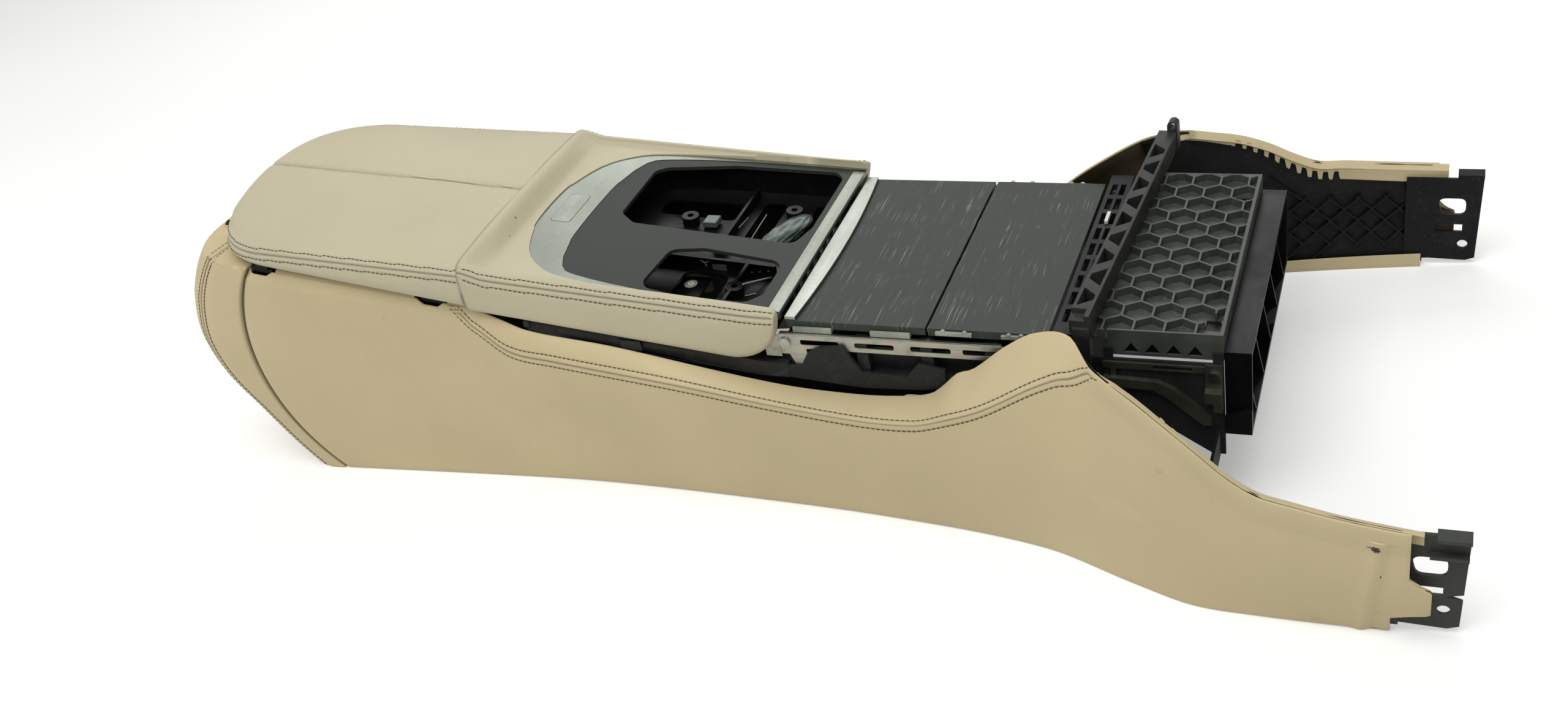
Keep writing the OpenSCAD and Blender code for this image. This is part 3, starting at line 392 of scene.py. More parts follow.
class Nodes:
    """Short way to write a node material."""

    def __init__(self, name):
        self.material = bpy.data.materials.new(name)
        self.material.use_nodes = True
        self.tree = self.material.node_tree
        self.shader = self.tree.nodes["Principled BSDF"]
        coords = self.tree.nodes.new("ShaderNodeTexCoord")
        self.coords = coords.outputs["Object"]

    def node(self, kind, values=(), **props):
        node = self.tree.nodes.new(kind)
        for key, value in props.items():
            setattr(node, key, value)
        for key, value in dict(values).items():
            self.set(node.inputs[key], value)
        return node

    def set(self, socket, value):
        if isinstance(value, bpy.types.NodeSocket):
            self.tree.links.new(value, socket)
        else:
            socket.default_value = value

    def mapped(self, scale=(1, 1, 1), turn=(0, 0, 0), place=(0, 0, 0)):
        node = self.node("ShaderNodeMapping", {"Vector": self.coords})
        node.inputs["Scale"].default_value = scale
        node.inputs["Rotation"].default_value = turn
        node.inputs["Location"].default_value = place
        return node.outputs["Vector"]

    def noise(self, scale, detail=4, rough=0.5, vector=None, warp=0.0):
        node = self.node("ShaderNodeTexNoise", {
            "Vector": vector or self.coords, "Scale": scale, "Detail": detail,
            "Roughness": rough, "Distortion": warp,
        })
        return node.outputs["Fac"]

    def cells(self, scale, feature="F1", vector=None, output="Distance"):
        node = self.node("ShaderNodeTexVoronoi", {"Vector": vector or self.coords, "Scale": scale},
                         feature=feature)
        return node.outputs[output]

    def ramp(self, fac, low, high, a=0.0, b=1.0):
        node = self.node("ShaderNodeMapRange", {
            "Value": fac, "From Min": low, "From Max": high, "To Min": a, "To Max": b,
        })
        return node.outputs["Result"]

    def math(self, operation, a, b=0.0):
        node = self.node("ShaderNodeMath", operation=operation)
        self.set(node.inputs[0], a)
        self.set(node.inputs[1], b)
        return node.outputs[0]

    def mix(self, fac, a, b, blend="MIX"):
        node = self.node("ShaderNodeMix", data_type="RGBA", blend_type=blend)
        self.set(node.inputs[0], fac)
        self.set(node.inputs[6], colour(a) if isinstance(a, (tuple, list)) else a)
        self.set(node.inputs[7], colour(b) if isinstance(b, (tuple, list)) else b)
        return node.outputs[2]

    def attribute(self, name):
        return self.node("ShaderNodeAttribute", attribute_name=name).outputs["Fac"]

    def away(self, place, size):
        """Distance from a point of the deck frame, in units of size (millimetres along X, Y, Z)."""
        p = deck(*place)
        scale = tuple(1 / (k * MM) for k in size)
        near = self.mapped(scale, (0, 0, 0), tuple(-c * k for c, k in zip(p, scale)))
        return self.node("ShaderNodeVectorMath", {"Vector": near}, operation="LENGTH").outputs["Value"]

    def spots(self, tone, marks):
        """Small marks painted over a tone: place, size, colour, strength and raggedness."""
        for place, size, paint, strength, ragged in marks:
            far = self.away(place, size)
            if ragged:
                edge = self.ramp(self.noise(800, 3, 0.6), 0.3, 0.7, -ragged, ragged)
                far = self.math("ADD", far, edge)
            tone = self.mix(self.ramp(far, 0.75, 1.0, strength, 0.0), tone, paint)
        return tone

    def rings(self, tone, places, radius, paint, strength):
        """Thin circles, such as the marks that ejector pins and gates leave."""
        for place in places:
            far = self.away(place, (radius, radius, radius))
            off = self.math("ABSOLUTE", self.math("SUBTRACT", far, 1.0))
            tone = self.mix(self.ramp(off, 0.06, 0.16, strength, 0.0), tone, paint)
        return tone

    def bump(self, height, strength, distance=0.001, normal=None):
        values = {"Height": height, "Strength": strength, "Distance": distance}
        if normal is not None:
            values["Normal"] = normal
        return self.node("ShaderNodeBump", values).outputs["Normal"]

    def finish(self, base=None, rough=None, normal=None, **fixed):
        if base is not None:
            value = colour(base) if isinstance(base, (tuple, list)) else base
            self.set(self.shader.inputs["Base Color"], value)
        if rough is not None:
            self.set(self.shader.inputs["Roughness"], rough)
        if normal is not None:
            self.set(self.shader.inputs["Normal"], normal)
        for key, value in fixed.items():
            self.shader.inputs[key.replace("_", " ")].default_value = value
        return self.material


def linear(v):
    return v / 12.92 if v <= 0.04045 else ((v + 0.055) / 1.055) ** 2.4


def colour(rgb):
    """Colour written as screen values from 0 to 255, as linear light."""
    if len(rgb) == 4:
        return tuple(rgb)
    return tuple(linear(v / 255) for v in rgb) + (1.0,)


def scaled(rgb, f):
    return tuple(min(255, v * f) for v in rgb)


def leather(name, base, warm, wear=0.0, marks=()):
    """Fine grained hide: pebbles, soft folds, mottling, painted shade in seams and gaps, and worn or
    dusty places.
    """
    n = Nodes(name)
    cloudy = n.noise(7, 3, 0.5)
    broad = n.noise(2.6, 2, 0.5)
    fine = n.noise(900, 3, 0.6)
    tone = n.mix(n.ramp(cloudy, 0.35, 0.7), base, warm)
    tone = n.mix(n.ramp(broad, 0.4, 0.72, 0.0, 0.22), tone, scaled(base, 0.9))
    tone = n.mix(n.ramp(fine, 0.3, 0.7, 0.0, 0.1), tone, scaled(base, 0.8))
    stains = n.ramp(n.noise(55, 2, 0.4), 0.74, 0.8, 0.0, 0.16 + wear)
    tone = n.mix(stains, tone, scaled(warm, 0.72))
    # Painted shade: the 'tone' attribute darkens the hide in seam grooves, beside stitch rows, in gaps
    # between parts and along rolled edges
    seam = n.attribute("tone")
    tone = n.mix(n.ramp(seam, 0.0, 1.0, 0.0, 0.8), tone, scaled(warm, 0.42))
    tone = n.spots(tone, marks)
    pebbles = n.cells(760, "F1")
    pits = n.cells(1500, "F1")
    grain = n.math("ADD", pebbles, n.math("MULTIPLY", pits, 0.5))
    folds = n.noise(24, 3, 0.55, n.mapped((1, 1.6, 1)), 0.6)
    normal = n.bump(folds, 0.12, 0.004)
    normal = n.bump(grain, 0.16, 0.0006, normal)
    rough = n.ramp(n.noise(40, 4, 0.6), 0.3, 0.7, 0.46, 0.58)
    return n.finish(tone, rough, normal, Specular_IOR_Level=0.42, Sheen_Weight=0.08,
                    Sheen_Roughness=0.5)


def hide_back(name, base):
    """Woven backing and glue on the inner side of the hide."""
    n = Nodes(name)
    weave = n.noise(1400, 2, 0.5, n.mapped((1, 1, 2.2)))
    patches = n.noise(14, 4, 0.6)
    tone = n.mix(n.ramp(patches, 0.35, 0.7), base, scaled(base, 0.72))
    tone = n.mix(n.ramp(weave, 0.3, 0.7, 0, 0.3), tone, scaled(base, 0.6))
    return n.finish(tone, 0.85, n.bump(weave, 0.5, 0.0006))


def thread(name, base):
    n = Nodes(name)
    twist = n.noise(2600, 2, 0.5)
    tone = n.mix(n.ramp(twist, 0.3, 0.7), base, scaled(base, 0.6))
    return n.finish(tone, 0.7, n.bump(twist, 0.4, 0.0003), Sheen_Weight=0.2)


def brushed(name, base, rough=0.3, along=(60, 2600, 2600), shade=0.86):
    """Satin metal with a fine brushed line, faint clouds and rubbed places."""
    n = Nodes(name)
    lines = n.noise(1, 5, 0.6, n.mapped(along))
    clouds = n.noise(9, 4, 0.55)
    tone = n.mix(n.ramp(lines, 0.3, 0.7), base, scaled(base, shade))
    tone = n.mix(n.ramp(clouds, 0.4, 0.7, 0, 0.35), tone, scaled(base, shade))
    sheen = n.math("ADD", n.ramp(lines, 0.2, 0.8, rough - 0.05, rough + 0.07),
                   n.ramp(clouds, 0.3, 0.7, -0.03, 0.05))
    return n.finish(tone, sheen, n.bump(lines, 0.05, 0.0003), Metallic=1.0, Anisotropic=0.35)


def stamped(name, base, rough=0.34):
    """Zinc coated sheet: rolled lines, spangle, finger marks and a little dirt."""
    n = Nodes(name)
    lines = n.noise(1, 4, 0.6, n.mapped((40, 900, 900)))
    spangle = n.cells(160, "F1", output="Color")
    dirt = n.noise(36, 5, 0.65)
    tone = n.mix(n.ramp(lines, 0.3, 0.7, 0, 0.5), base, scaled(base, 0.82))
    tone = n.mix(0.08, tone, spangle, "OVERLAY")
    tone = n.mix(n.ramp(dirt, 0.56, 0.78, 0, 0.5), tone, scaled(base, 0.45))
    return n.finish(tone, n.ramp(dirt, 0.3, 0.75, rough - 0.06, rough + 0.2),
                    n.bump(lines, 0.06, 0.0004), Metallic=0.95)


def moulded(name, base, rough=0.45, dust=0.12, grain=900, depth=0.16, spec=0.5, marks=(),
            rings=(), outside=None):
    """Moulded plastic: spark grain, flow marks, dust and moulding marks.

    The colour given for the bracket at the front right end of the carrier is painted light: its lit
    outer face is painted lighter than the rest.
    """
    n = Nodes(name)
    spark = n.noise(grain, 3, 0.6)
    flow = n.noise(18, 4, 0.6, warp=0.8)
    specks = n.noise(420, 2, 0.5)
    tone = n.mix(n.ramp(flow, 0.35, 0.7), base, scaled(base, 1.35))
    # Painted light on the lit bracket at the front right end of the carrier
    if outside:
        side = n.node("ShaderNodeSeparateXYZ", {"Vector": n.coords})
        ahead = n.ramp(side.outputs["X"], 0.53, 0.55)
        right = n.ramp(side.outputs["Y"], -0.19, -0.2)
        painted_light_mask = n.math("MULTIPLY", ahead, right)
        tone = n.mix(painted_light_mask, tone, outside)
    tone = n.mix(n.ramp(specks, 0.66, 0.74, 0.0, dust * 1.6), tone, (150, 148, 138))
    tone = n.mix(n.ramp(n.noise(31, 5, 0.7), 0.5, 0.8, 0.0, dust), tone, (128, 126, 116))
    tone = n.rings(n.spots(tone, marks), rings, 3.4, scaled(base, 1.7), 0.7)
    return n.finish(tone, n.ramp(flow, 0.3, 0.7, rough - 0.08, rough + 0.1),
                    n.bump(spark, depth, 0.0006), Specular_IOR_Level=spec)


def plate_finish(name, base):
    """Dark plate with a fine even spark texture and a satin gloss."""
    n = Nodes(name)
    spark = n.noise(1500, 2, 0.6)
    clouds = n.noise(6, 3, 0.5)
    tone = n.mix(n.ramp(spark, 0.35, 0.68), scaled(base, 0.86), scaled(base, 1.18))
    tone = n.mix(n.ramp(clouds, 0.4, 0.7, 0, 0.3), tone, scaled(base, 1.16))
    return n.finish(tone, n.ramp(spark, 0.3, 0.7, 0.46, 0.56), n.bump(spark, 0.12, 0.0003),
                    Specular_IOR_Level=0.28)


def wood_grain(name, base, streak):
    """Dark open grain veneer whose fine pores run across the console."""
    n = Nodes(name)
    lines = n.noise(1, 4, 0.6, n.mapped((1300, 16, 60)))
    pores = n.noise(1, 2, 0.5, n.mapped((860, 17, 60)))
    bands = n.noise(1, 2, 0.5, n.mapped((160, 5, 20)))
    tone = n.mix(n.ramp(lines, 0.36, 0.66), scaled(base, 0.82), scaled(base, 1.14))
    tone = n.mix(n.ramp(bands, 0.4, 0.7, 0, 0.35), tone, scaled(base, 1.14))
    light = n.math("MULTIPLY", n.ramp(pores, 0.61, 0.68), n.ramp(n.noise(46, 2), 0.42, 0.6))
    tone = n.mix(n.math("MULTIPLY", light, 0.85), tone, streak)
    normal = n.bump(lines, 0.12, 0.0003)
    return n.finish(tone, n.ramp(lines, 0.3, 0.7, 0.42, 0.54), normal, Specular_IOR_Level=0.3)


def felt(name, base):
    n = Nodes(name)
    fibre = n.noise(700, 5, 0.75)
    tone = n.mix(n.ramp(fibre, 0.3, 0.7), base, scaled(base, 1.5))
    return n.finish(tone, 0.95, n.bump(fibre, 0.8, 0.001), Sheen_Weight=0.3)


PALETTE = {}

# Marks on the hides: place in the deck frame, size, colour, strength, raggedness
SIDE_MARKS = [
    ((349.8, -254.7, -65.4), (3.4, 6, 3.0), (52, 34, 30), 1.0, 0.3),
    ((346.4, -254.7, -64.6), (3.0, 6, 0.7), (60, 40, 34), 0.9, 0.2),
    ((353.7, -254.3, -90.0), (0.6, 6, 1.3), (60, 40, 34), 0.9, 0.2),
    ((107.3, 165.7, -0.3), (0.5, 5, 4.0), (96, 78, 52), 0.7, 0.3),
    ((161.8, 190.3, 11.0), (5.0, 9, 6.0), (120, 104, 76), 0.5, 0.6),
    # A broad, faint, paler patch on the lower face of the right arm
    ((172.0, -198.0, -90.0), (34, 30, 9), (222, 208, 168), 0.12, 0.0),
]
TOP_MARKS = [
    ((-411.4, -40.6, 43.2), (1.0, 0.9, 2.0), (70, 52, 38), 0.95, 0.3),
    ((-406.9, -63.9, 37.9), (0.6, 0.8, 1.2), (84, 64, 48), 0.8, 0.3),
]
EJECTOR_RINGS = [
    (184, -65, 4), (154, -88, 4), (172, -85, 4), (194, -84, 4), (202, -104, 4), (183, 70, 4),
]


def palette(sizes):
    """Makes every material once."""
    if PALETTE:
        return PALETTE
    # Side and top colours are one hide, kept apart as painted light
    side = tuple(255 * v for v in sizes.side_colour_with_painted_light)
    top = tuple(255 * v for v in sizes.top_colour_with_painted_light)
    PALETTE.update(
        side_leather=leather("side_leather", side, scaled(side, 0.955), 0.03, SIDE_MARKS),
        top_leather=leather("top_leather", top, scaled(top, 0.965), 0.0, TOP_MARKS),
        hide_back=hide_back("hide_back", (146, 130, 98)),
        thread=thread("thread", (84, 72, 44)),
        satin=brushed("satin_metal", (163, 168, 158), 0.4),
        bright=brushed("bright_metal", (176, 181, 172), 0.34),
        zinc=stamped("zinc_sheet", (196, 193, 178), 0.4),
        zinc_dark=stamped("zinc_guide", (112, 114, 98), 0.46),
        steel=brushed("steel", (190, 190, 184), 0.28, (400, 400, 400)),
        plate=plate_finish("shift_plate_paint", (50, 55, 49)),
        veneer=wood_grain("dark_veneer", (49, 55, 49), (122, 128, 114)),
        black=moulded("black_moulding", (20, 21, 21), 0.5, 0.05, 900, 0.1, 0.25),
        # Black plastic with its base made darker than the other mouldings, partly painted shade for
        # the deep openings of the shift plate
        black_gloss=moulded("black_gloss", (9, 9, 10), 0.36, 0.02, 300, 0.05, 0.2),
        film=moulded("film_foil", (70, 82, 75), 0.26, 0.1, 120, 0.7, 0.5),
        edge=brushed("strip_metal", (206, 208, 198), 0.3),
        brace=moulded("brace_moulding", (44, 45, 43), 0.5, 0.1, 900, 0.12, 0.3),
        ribbed=moulded("ribbed_moulding", (60, 64, 58), 0.42, 0.06, 900, 0.1, 0.4,
                       rings=EJECTOR_RINGS),
        frame=moulded("frame_moulding", (30, 31, 31), 0.5, 0.08, 900, 0.12, 0.25),
        # The carrier's bracket colour is painted light on its lit outer face
        carrier=moulded("carrier_moulding", (17, 18, 18), 0.5, 0.06, 900, 0.12, 0.22,
                        outside=(66, 68, 62)),
        runner=moulded("runner_plastic", (128, 132, 120), 0.4, 0.1),
        bin=moulded("bin_lining", (40, 40, 40), 0.6, 0.05),
        felt=felt("felt_mat", (38, 38, 37)),
        clip=moulded("pale_clip", (196, 196, 184), 0.4, 0.05),
    )
    return PALETTE


# Sizes and colours that a user would change


class ConsoleSettings(bpy.types.PropertyGroup):
    # Both leathers are one hide: the side colour is painted lighter and warmer and the top colour
    # cooler, as painted light for how sides and top are lit
    side_colour_with_painted_light: bpy.props.FloatVectorProperty(
        name="Side leather", description="Colour of the side and rear leather", subtype="COLOR",
        size=3, min=0.0, max=1.0, default=(0.845, 0.775, 0.61),
    )
    top_colour_with_painted_light: bpy.props.FloatVectorProperty(
        name="Top leather", description="Colour of the armrest and surround", subtype="COLOR",
        size=3, min=0.0, max=1.0, default=(0.80, 0.765, 0.645),
    )
    stitch_pitch: bpy.props.FloatProperty(
        name="Stitch pitch", description="Distance from stitch to stitch", unit="LENGTH",
        min=0.003, max=0.008, default=0.0046,
    )
    stitch_width: bpy.props.FloatProperty(
        name="Thread width", description="Width of the sewing thread", unit="LENGTH",
        min=0.0004, max=0.0016, default=0.0009,
    )
    seam_offset: bpy.props.FloatProperty(
        name="Stitch offset", description="Distance of each stitch row from its seam",
        unit="LENGTH", min=0.003, max=0.009, default=0.0052,
    )
    edge_round: bpy.props.FloatProperty(
        name="Edge rounding", description="Factor on the rounding of plastic and metal edges",
        min=0.25, max=2.0, default=1.0,
    )
    light_power: bpy.props.FloatProperty(
        name="Light power", description="Power of the main soft light", min=10, max=400,
        default=46,
    )


def settings():
    return bpy.context.scene.console_settings


# Stitches


STITCH_FILL = 0.86  # share of the pitch that a stitch covers


def stitch_mesh(length, width):
    """One stitch: a slim capsule that lies along X and dips at both ends."""
    rows = []
    stations = [(-0.5, 0.35, -0.55), (-0.34, 0.9, 0.0), (0.0, 1.0, 0.25), (0.34, 0.9, 0.0),
                (0.5, 0.35, -0.55)]
    for t, r, lift in stations:
        ring = []
        for k in range(6):
            a = math.tau * k / 6
            ring.append(Vector((t * length, math.cos(a) * r * width / 2,
                                math.sin(a) * r * width / 2 + lift * width / 2)))
        rows.append(ring)
    return grid_mesh("stitch", rows)


def stitch_tree():
    """Node tree that sets stitches along a curve whose normals stand out of the leather."""
    tree = bpy.data.node_groups.new("Stitches", "GeometryNodeTree")
    face = tree.interface
    face.new_socket("Geometry", in_out="INPUT", socket_type="NodeSocketGeometry")
    pitch = face.new_socket("Pitch", in_out="INPUT", socket_type="NodeSocketFloat")
    shape = face.new_socket("Stitch", in_out="INPUT", socket_type="NodeSocketObject")
    finish = face.new_socket("Thread", in_out="INPUT", socket_type="NodeSocketMaterial")
    face.new_socket("Geometry", in_out="OUTPUT", socket_type="NodeSocketGeometry")
    nodes = tree.nodes
    source = nodes.new("NodeGroupInput")
    result = nodes.new("NodeGroupOutput")
    to_curve = nodes.new("GeometryNodeMeshToCurve")
    resample = nodes.new("GeometryNodeResampleCurve")
    resample.mode = "LENGTH"
    tangent = nodes.new("GeometryNodeInputTangent")
    out = nodes.new("GeometryNodeInputNamedAttribute")
    out.data_type = "FLOAT_VECTOR"
    out.inputs["Name"].default_value = "out"
    align = nodes.new("FunctionNodeAxesToRotation")
    align.primary_axis = "X"
    align.secondary_axis = "Z"
    info = nodes.new("GeometryNodeObjectInfo")
    place = nodes.new("GeometryNodeInstanceOnPoints")
    real = nodes.new("GeometryNodeRealizeInstances")
    paint = nodes.new("GeometryNodeSetMaterial")
    link = tree.links.new
    link(source.outputs["Geometry"], to_curve.inputs["Mesh"])
    link(to_curve.outputs["Curve"], resample.inputs["Curve"])
    link(source.outputs["Pitch"], resample.inputs["Length"])
    link(resample.outputs["Curve"], place.inputs["Points"])
    link(source.outputs["Stitch"], info.inputs["Object"])
    link(info.outputs["Geometry"], place.inputs["Instance"])
    link(tangent.outputs["Tangent"], align.inputs["Primary Axis"])
    link(out.outputs["Attribute"], align.inputs["Secondary Axis"])
    link(align.outputs["Rotation"], place.inputs["Rotation"])
    link(place.outputs["Instances"], real.inputs["Geometry"])
    link(real.outputs["Geometry"], paint.inputs["Geometry"])
    link(source.outputs["Thread"], paint.inputs["Material"])
    link(paint.outputs["Geometry"], result.inputs["Geometry"])
    return tree, pitch.identifier, shape.identifier, finish.identifier


def as_mesh(obj):
    """Plain mesh of an object with its modifiers applied."""
    bpy.context.view_layer.update()
    graph = bpy.context.evaluated_depsgraph_get()
    return bpy.data.meshes.new_from_object(obj.evaluated_get(graph))


def sew(name, lines, body):
    """Stitches along lines of (point, outward direction) pairs, as one plain mesh piece."""
    conf = settings()
    verts = []
    edges = []
    outs = []
    for line in lines:
        start = len(verts)
        for p, out in line:
            verts.append(p)
            outs.extend(out)
        edges.extend((start + i, start + i + 1) for i in range(len(line) - 1))
    mesh = new_mesh(name, verts, [], edges)
    attribute = mesh.attributes.new("out", "FLOAT_VECTOR", "POINT")
    attribute.data.foreach_set("vector", outs)
    obj = linked(name + "_path", mesh)
    single = linked("stitch", stitch_mesh(conf.stitch_pitch * STITCH_FILL, conf.stitch_width))
    tree, pitch_id, shape_id, thread_id = stitch_tree()
    modifier = obj.modifiers.new("Stitches", "NODES")
    modifier.node_group = tree
    modifier[pitch_id] = conf.stitch_pitch
    modifier[shape_id] = single
    modifier[thread_id] = palette(conf)["thread"]
    plain = as_mesh(obj)
    bpy.data.objects.remove(obj)
    bpy.data.objects.remove(single)
    plain.name = name
    return finish_object(name, plain, body, palette(conf)["thread"], sharp=80)


def seam_dip_and_painted_shade(d, offset):
    """Depth and painted shade at distance d from a French seam with a stitch row on each side."""
    groove = bell(d, 0, 0.9)
    rows = bell(abs(d), offset, 0.9)
    pillow = bell(abs(d), offset / 2, 2.0)
    dip = groove * 0.9 + rows * 0.35 - pillow * 0.28
    # The second number is painted shade: dark in the groove and a little darker beside the stitch rows
    return dip, clamp(groove * 0.85 + rows * 0.18)


# Side panels


# Stations between which the seam is pressed in, and from which it climbs to the top edge
SEAM_REAR = -456
SEAM_FRONT = 147
REAR_CLIMB = -429
FRONT_CLIMB = 124

# Fold near the end of the arm, and heights at which the tongue of its front end starts and stops
FOLD_X = 348
TONGUE_TOP = -92
TONGUE_LOW = -123

# Rows of the hide: below the seam's band, each half of the band, and above it. They start
# and end short of the panel's edges, to leave room for the rolled edges of the hide.
SEAM_BAND = 8.5
LOW_ROWS = 44
BAND_ROWS = 17
TOP_ROWS = 22
PANEL_ROWS = LOW_ROWS + 2 * BAND_ROWS + TOP_ROWS + 1
LOW_EDGE = 1.3
TOP_EDGE = 1.4

# Columns of the hide: up to BODY_END, and on to the shaped front end
BODY_COLUMNS = 208
FRONT_COLUMNS = 22
PANEL_COLUMNS = BODY_COLUMNS + FRONT_COLUMNS
BODY_END = 340.0

# Places of the hinge knuckles that turn over the hide's edge, along a lid and along the deck
HINGE_STATIONS = (-45, -231)
HINGE_PLACES = [lid_point(e, 0, -HINGE_DROP)[0] for e in HINGE_STATIONS]


def panel_lines(x):
    """Bottom, seam and top points of the left panel at a station, as (y, z)."""
    b = (HALF_W + curve(BOTTOM_LINE, x), floor_z(x))
    s = (HALF_W + curve(STITCH_LINE, x), curve(STITCH_LINE, x, 2))
    t = (HALF_W + curve(TOP_LINE, x), curve(TOP_LINE, x, 2))
    return b, s, t


def panel_spans(x):
    """Lengths of the panel's section below and above the crease."""
    b, s, t = panel_lines(x)
    return math.dist(b, s), math.dist(s, t)


def panel_point(x, v):
    """Point of the panel's outer face: v runs 0 to 1 up to the crease and 1 to 2 to the top."""
    b, s, t = panel_lines(x)
    if v <= 1:
        bulge = BELLY * 4 * v * (1 - v)
        return (lerp(b[0], s[0], v) + bulge, lerp(b[1], s[1], v))
    u = v - 1
    arch = 4 * u * (1 - u) * lerp(0.2, 1.0, ease((x - LID_X + 12) / 24))
    return (lerp(s[0], t[0], u) + arch, lerp(s[1], t[1], u) + 2 * arch)


def seam_reach(z):
    """X of the curved rear seam at a height."""
    h = SEAM_R**2 - (z - SEAM_Z) ** 2
    return SEAM_X - math.sqrt(max(h, 0.0))


def panel_end(z):
    """Front end of the leather on the arm, with its tongue and notch."""
    top = ease((TONGUE_TOP - z) / 8.0)
    low = ease((TONGUE_LOW - z) / 8.0)
    return ARM_END + 15 * top - 26 * low


def seam_height(x):
    """Place of the sewn seam above the crease: it climbs to the top edge at both of its ends."""
    return max(clamp((x - FRONT_CLIMB) / 25) ** 2, clamp((REAR_CLIMB - x) / 22) ** 1.4)


def panel_normal(x, v):
    """Direction out of the panel's outer face, in its section."""
    return normal_right(panel_point(x, max(v - 0.01, 0)), panel_point(x, min(v + 0.01, 2)))


def panel_sag(x, v):
    """Height of the slow waves of the hide along the panel's lower face."""
    return 0.7 * math.sin(x / 61 + 1.3) * math.sin(math.pi * min(v, 1.0))


def panel_surface(x, v, offset):
    """Point of the hide with the seam pressed in, and its painted shade."""
    low, high = panel_spans(x)
    y, z = panel_point(x, v)
    dip, dark = seam_dip_and_painted_shade((v - 1) * (low if v <= 1 else high) - high * seam_height(x), offset)
    fade = (1.0 - ease((x - SEAM_FRONT) / 5)) * ease((x - SEAM_REAR) / 6)
    lift = panel_sag(x, v) - dip * fade
    if v < 1.4:
        fold = FOLD_X + (z + 90) * 0.12
        lift += 1.6 * bell(x, fold, 5) - bell(x, fold + 9, 4)
    ny, nz = panel_normal(x, v)
    return y + ny * lift, z + nz * lift, dark * fade


def hinge_notch(x):
    """How far the hide's edge is cut down where a hinge knuckle turns over it."""
    return max(5.0 * clamp((13.0 - abs(x - place)) / 4) for place in HINGE_PLACES)


def panel_row(x, row):
    """Height of a row of the hide at a station: the rows crowd together along the sewn seam."""
    low, high = panel_spans(x)
    total = low + high - hinge_notch(x)
    seam = min(low + high * seam_height(x), total - 7)
    top = min(seam + SEAM_BAND, total - 3)
    stops = [
        (0, LOW_EDGE), (LOW_ROWS, seam - SEAM_BAND), (LOW_ROWS + BAND_ROWS, seam),
        (PANEL_ROWS - 1 - TOP_ROWS, top), (PANEL_ROWS - 1, total - TOP_EDGE),
    ]
    a, b = next(pair for pair in zip(stops, stops[1:]) if row <= pair[1][0])
    d = lerp(a[1], b[1], (row - a[0]) / (b[0] - a[0]))
    return d / low if d < low else 1 + (d - low) / high


def panel_place(i, row):
    """Station of a column's point on a row, with the row's rear and front ends and height."""
    x = lerp(-650.0, 360.0, i / PANEL_COLUMNS)
    for _ in range(4):
        x = clamp(x, -720, 388)
        z = panel_point(x, panel_row(x, row))[1]
        rear = seam_reach(z)
        front = panel_end(z)
        x = lerp(rear, BODY_END, i / BODY_COLUMNS)
        if i > BODY_COLUMNS:
            x = lerp(BODY_END, front, (i - BODY_COLUMNS) / FRONT_COLUMNS)
    return x, rear, front, panel_row(x, row)


def panel_rings(offset):
    """Closed sections of the left hide from rear to front, and their painted shade."""
    table = []
    painted_shades = []
    for i in range(PANEL_COLUMNS + 1):
        outer = []
        xs = []
        marks = []
        for row in range(PANEL_ROWS):
            x, rear, front, v = panel_place(i, row)
            y, z, dark = panel_surface(x, v, offset)
            outer.append((y - drop(x - rear, 4.0) - drop(front - x, 1.2) * 0.6, z))
            xs.append(x)
            # Painted shade along the seam and in the joint at the curved rear seam
            marks.append(max(dark, 0.9 * bell(x, rear, 1.2)))
        section = ring_about(outer, SIDE_HIDE)
        roll = ROLL - 1
        all_x = xs + [xs[-1]] * roll + xs[::-1] + [xs[0]] * roll
        table.append([on_floor(deck(x, y, z)) for (y, z), x in zip(section, all_x)])
        # Painted shade on the rolled edges: half of the row beside it on the top roll, a little on the
        # bottom hem, none on the back
        painted_shades.append(marks + [marks[-1] * 0.5] * roll + [0.0] * PANEL_ROWS + [0.2] * roll)
    return table, painted_shades


def side_leather():
    """The hides of both side panels and their stitches."""
    conf = settings()
    offset = conf.seam_offset / MM
    table, painted_shades = panel_rings(offset)
    pal = palette(conf)
    for side, points in (("left", table), ("right", mirrored(table))):
        mesh = grid_mesh("side_leather_" + side, points, caps=True, tint=painted_shades)
        obj = finish_object("side_leather_" + side, mesh, "console", pal["side_leather"],
                            ["side_panel_" + side])
        mesh.materials.append(pal["hide_back"])
        paint_back(mesh, len(table[0]))
    lines = []
    for shift in (-offset, offset):
        spots = [seam_spot(SEAM_REAR + 5 + 2.0 * i, shift) for i in range(302)]
        lines.append([spot for spot in spots if spot])
    for side, sign in (("left", 1), ("right", -1)):
        turned = [[(Vector((p.x, sign * p.y, p.z)), Vector((n.x, sign * n.y, n.z)))
                   for p, n in line] for line in lines]
        sew("side_stitches_" + side, turned, "console")


def paint_back(mesh, ring):
    """Gives the backing material to the inner side of a hide, whose rings have ring points."""
    first = PANEL_ROWS + ROLL
    last = first + PANEL_ROWS - 1
    for poly in mesh.polygons:
        if all(first <= v % ring < last for v in poly.vertices):
            poly.material_index = 1


def seam_spot(x, shift):
    """Point beside the side panel's seam and the direction out of the leather."""
    low, high = panel_spans(x)
    d = high * seam_height(x) + shift
    if d > high - 1.5:
        return None
    v = 1 + (d / high if d > 0 else d / low)
    y, z = panel_point(x, v)
    ny, nz = panel_normal(x, v)
    lift = panel_sag(x, v) - 0.15
    return deck(x, y + ny * lift, z + nz * lift), deck_turn((0, ny, nz))


# Rear panel


REAR_SEAM = 19.0  # distance of the sewn seam from the corner's start
REAR_BAND = 9.0
REAR_LEVELS = 64

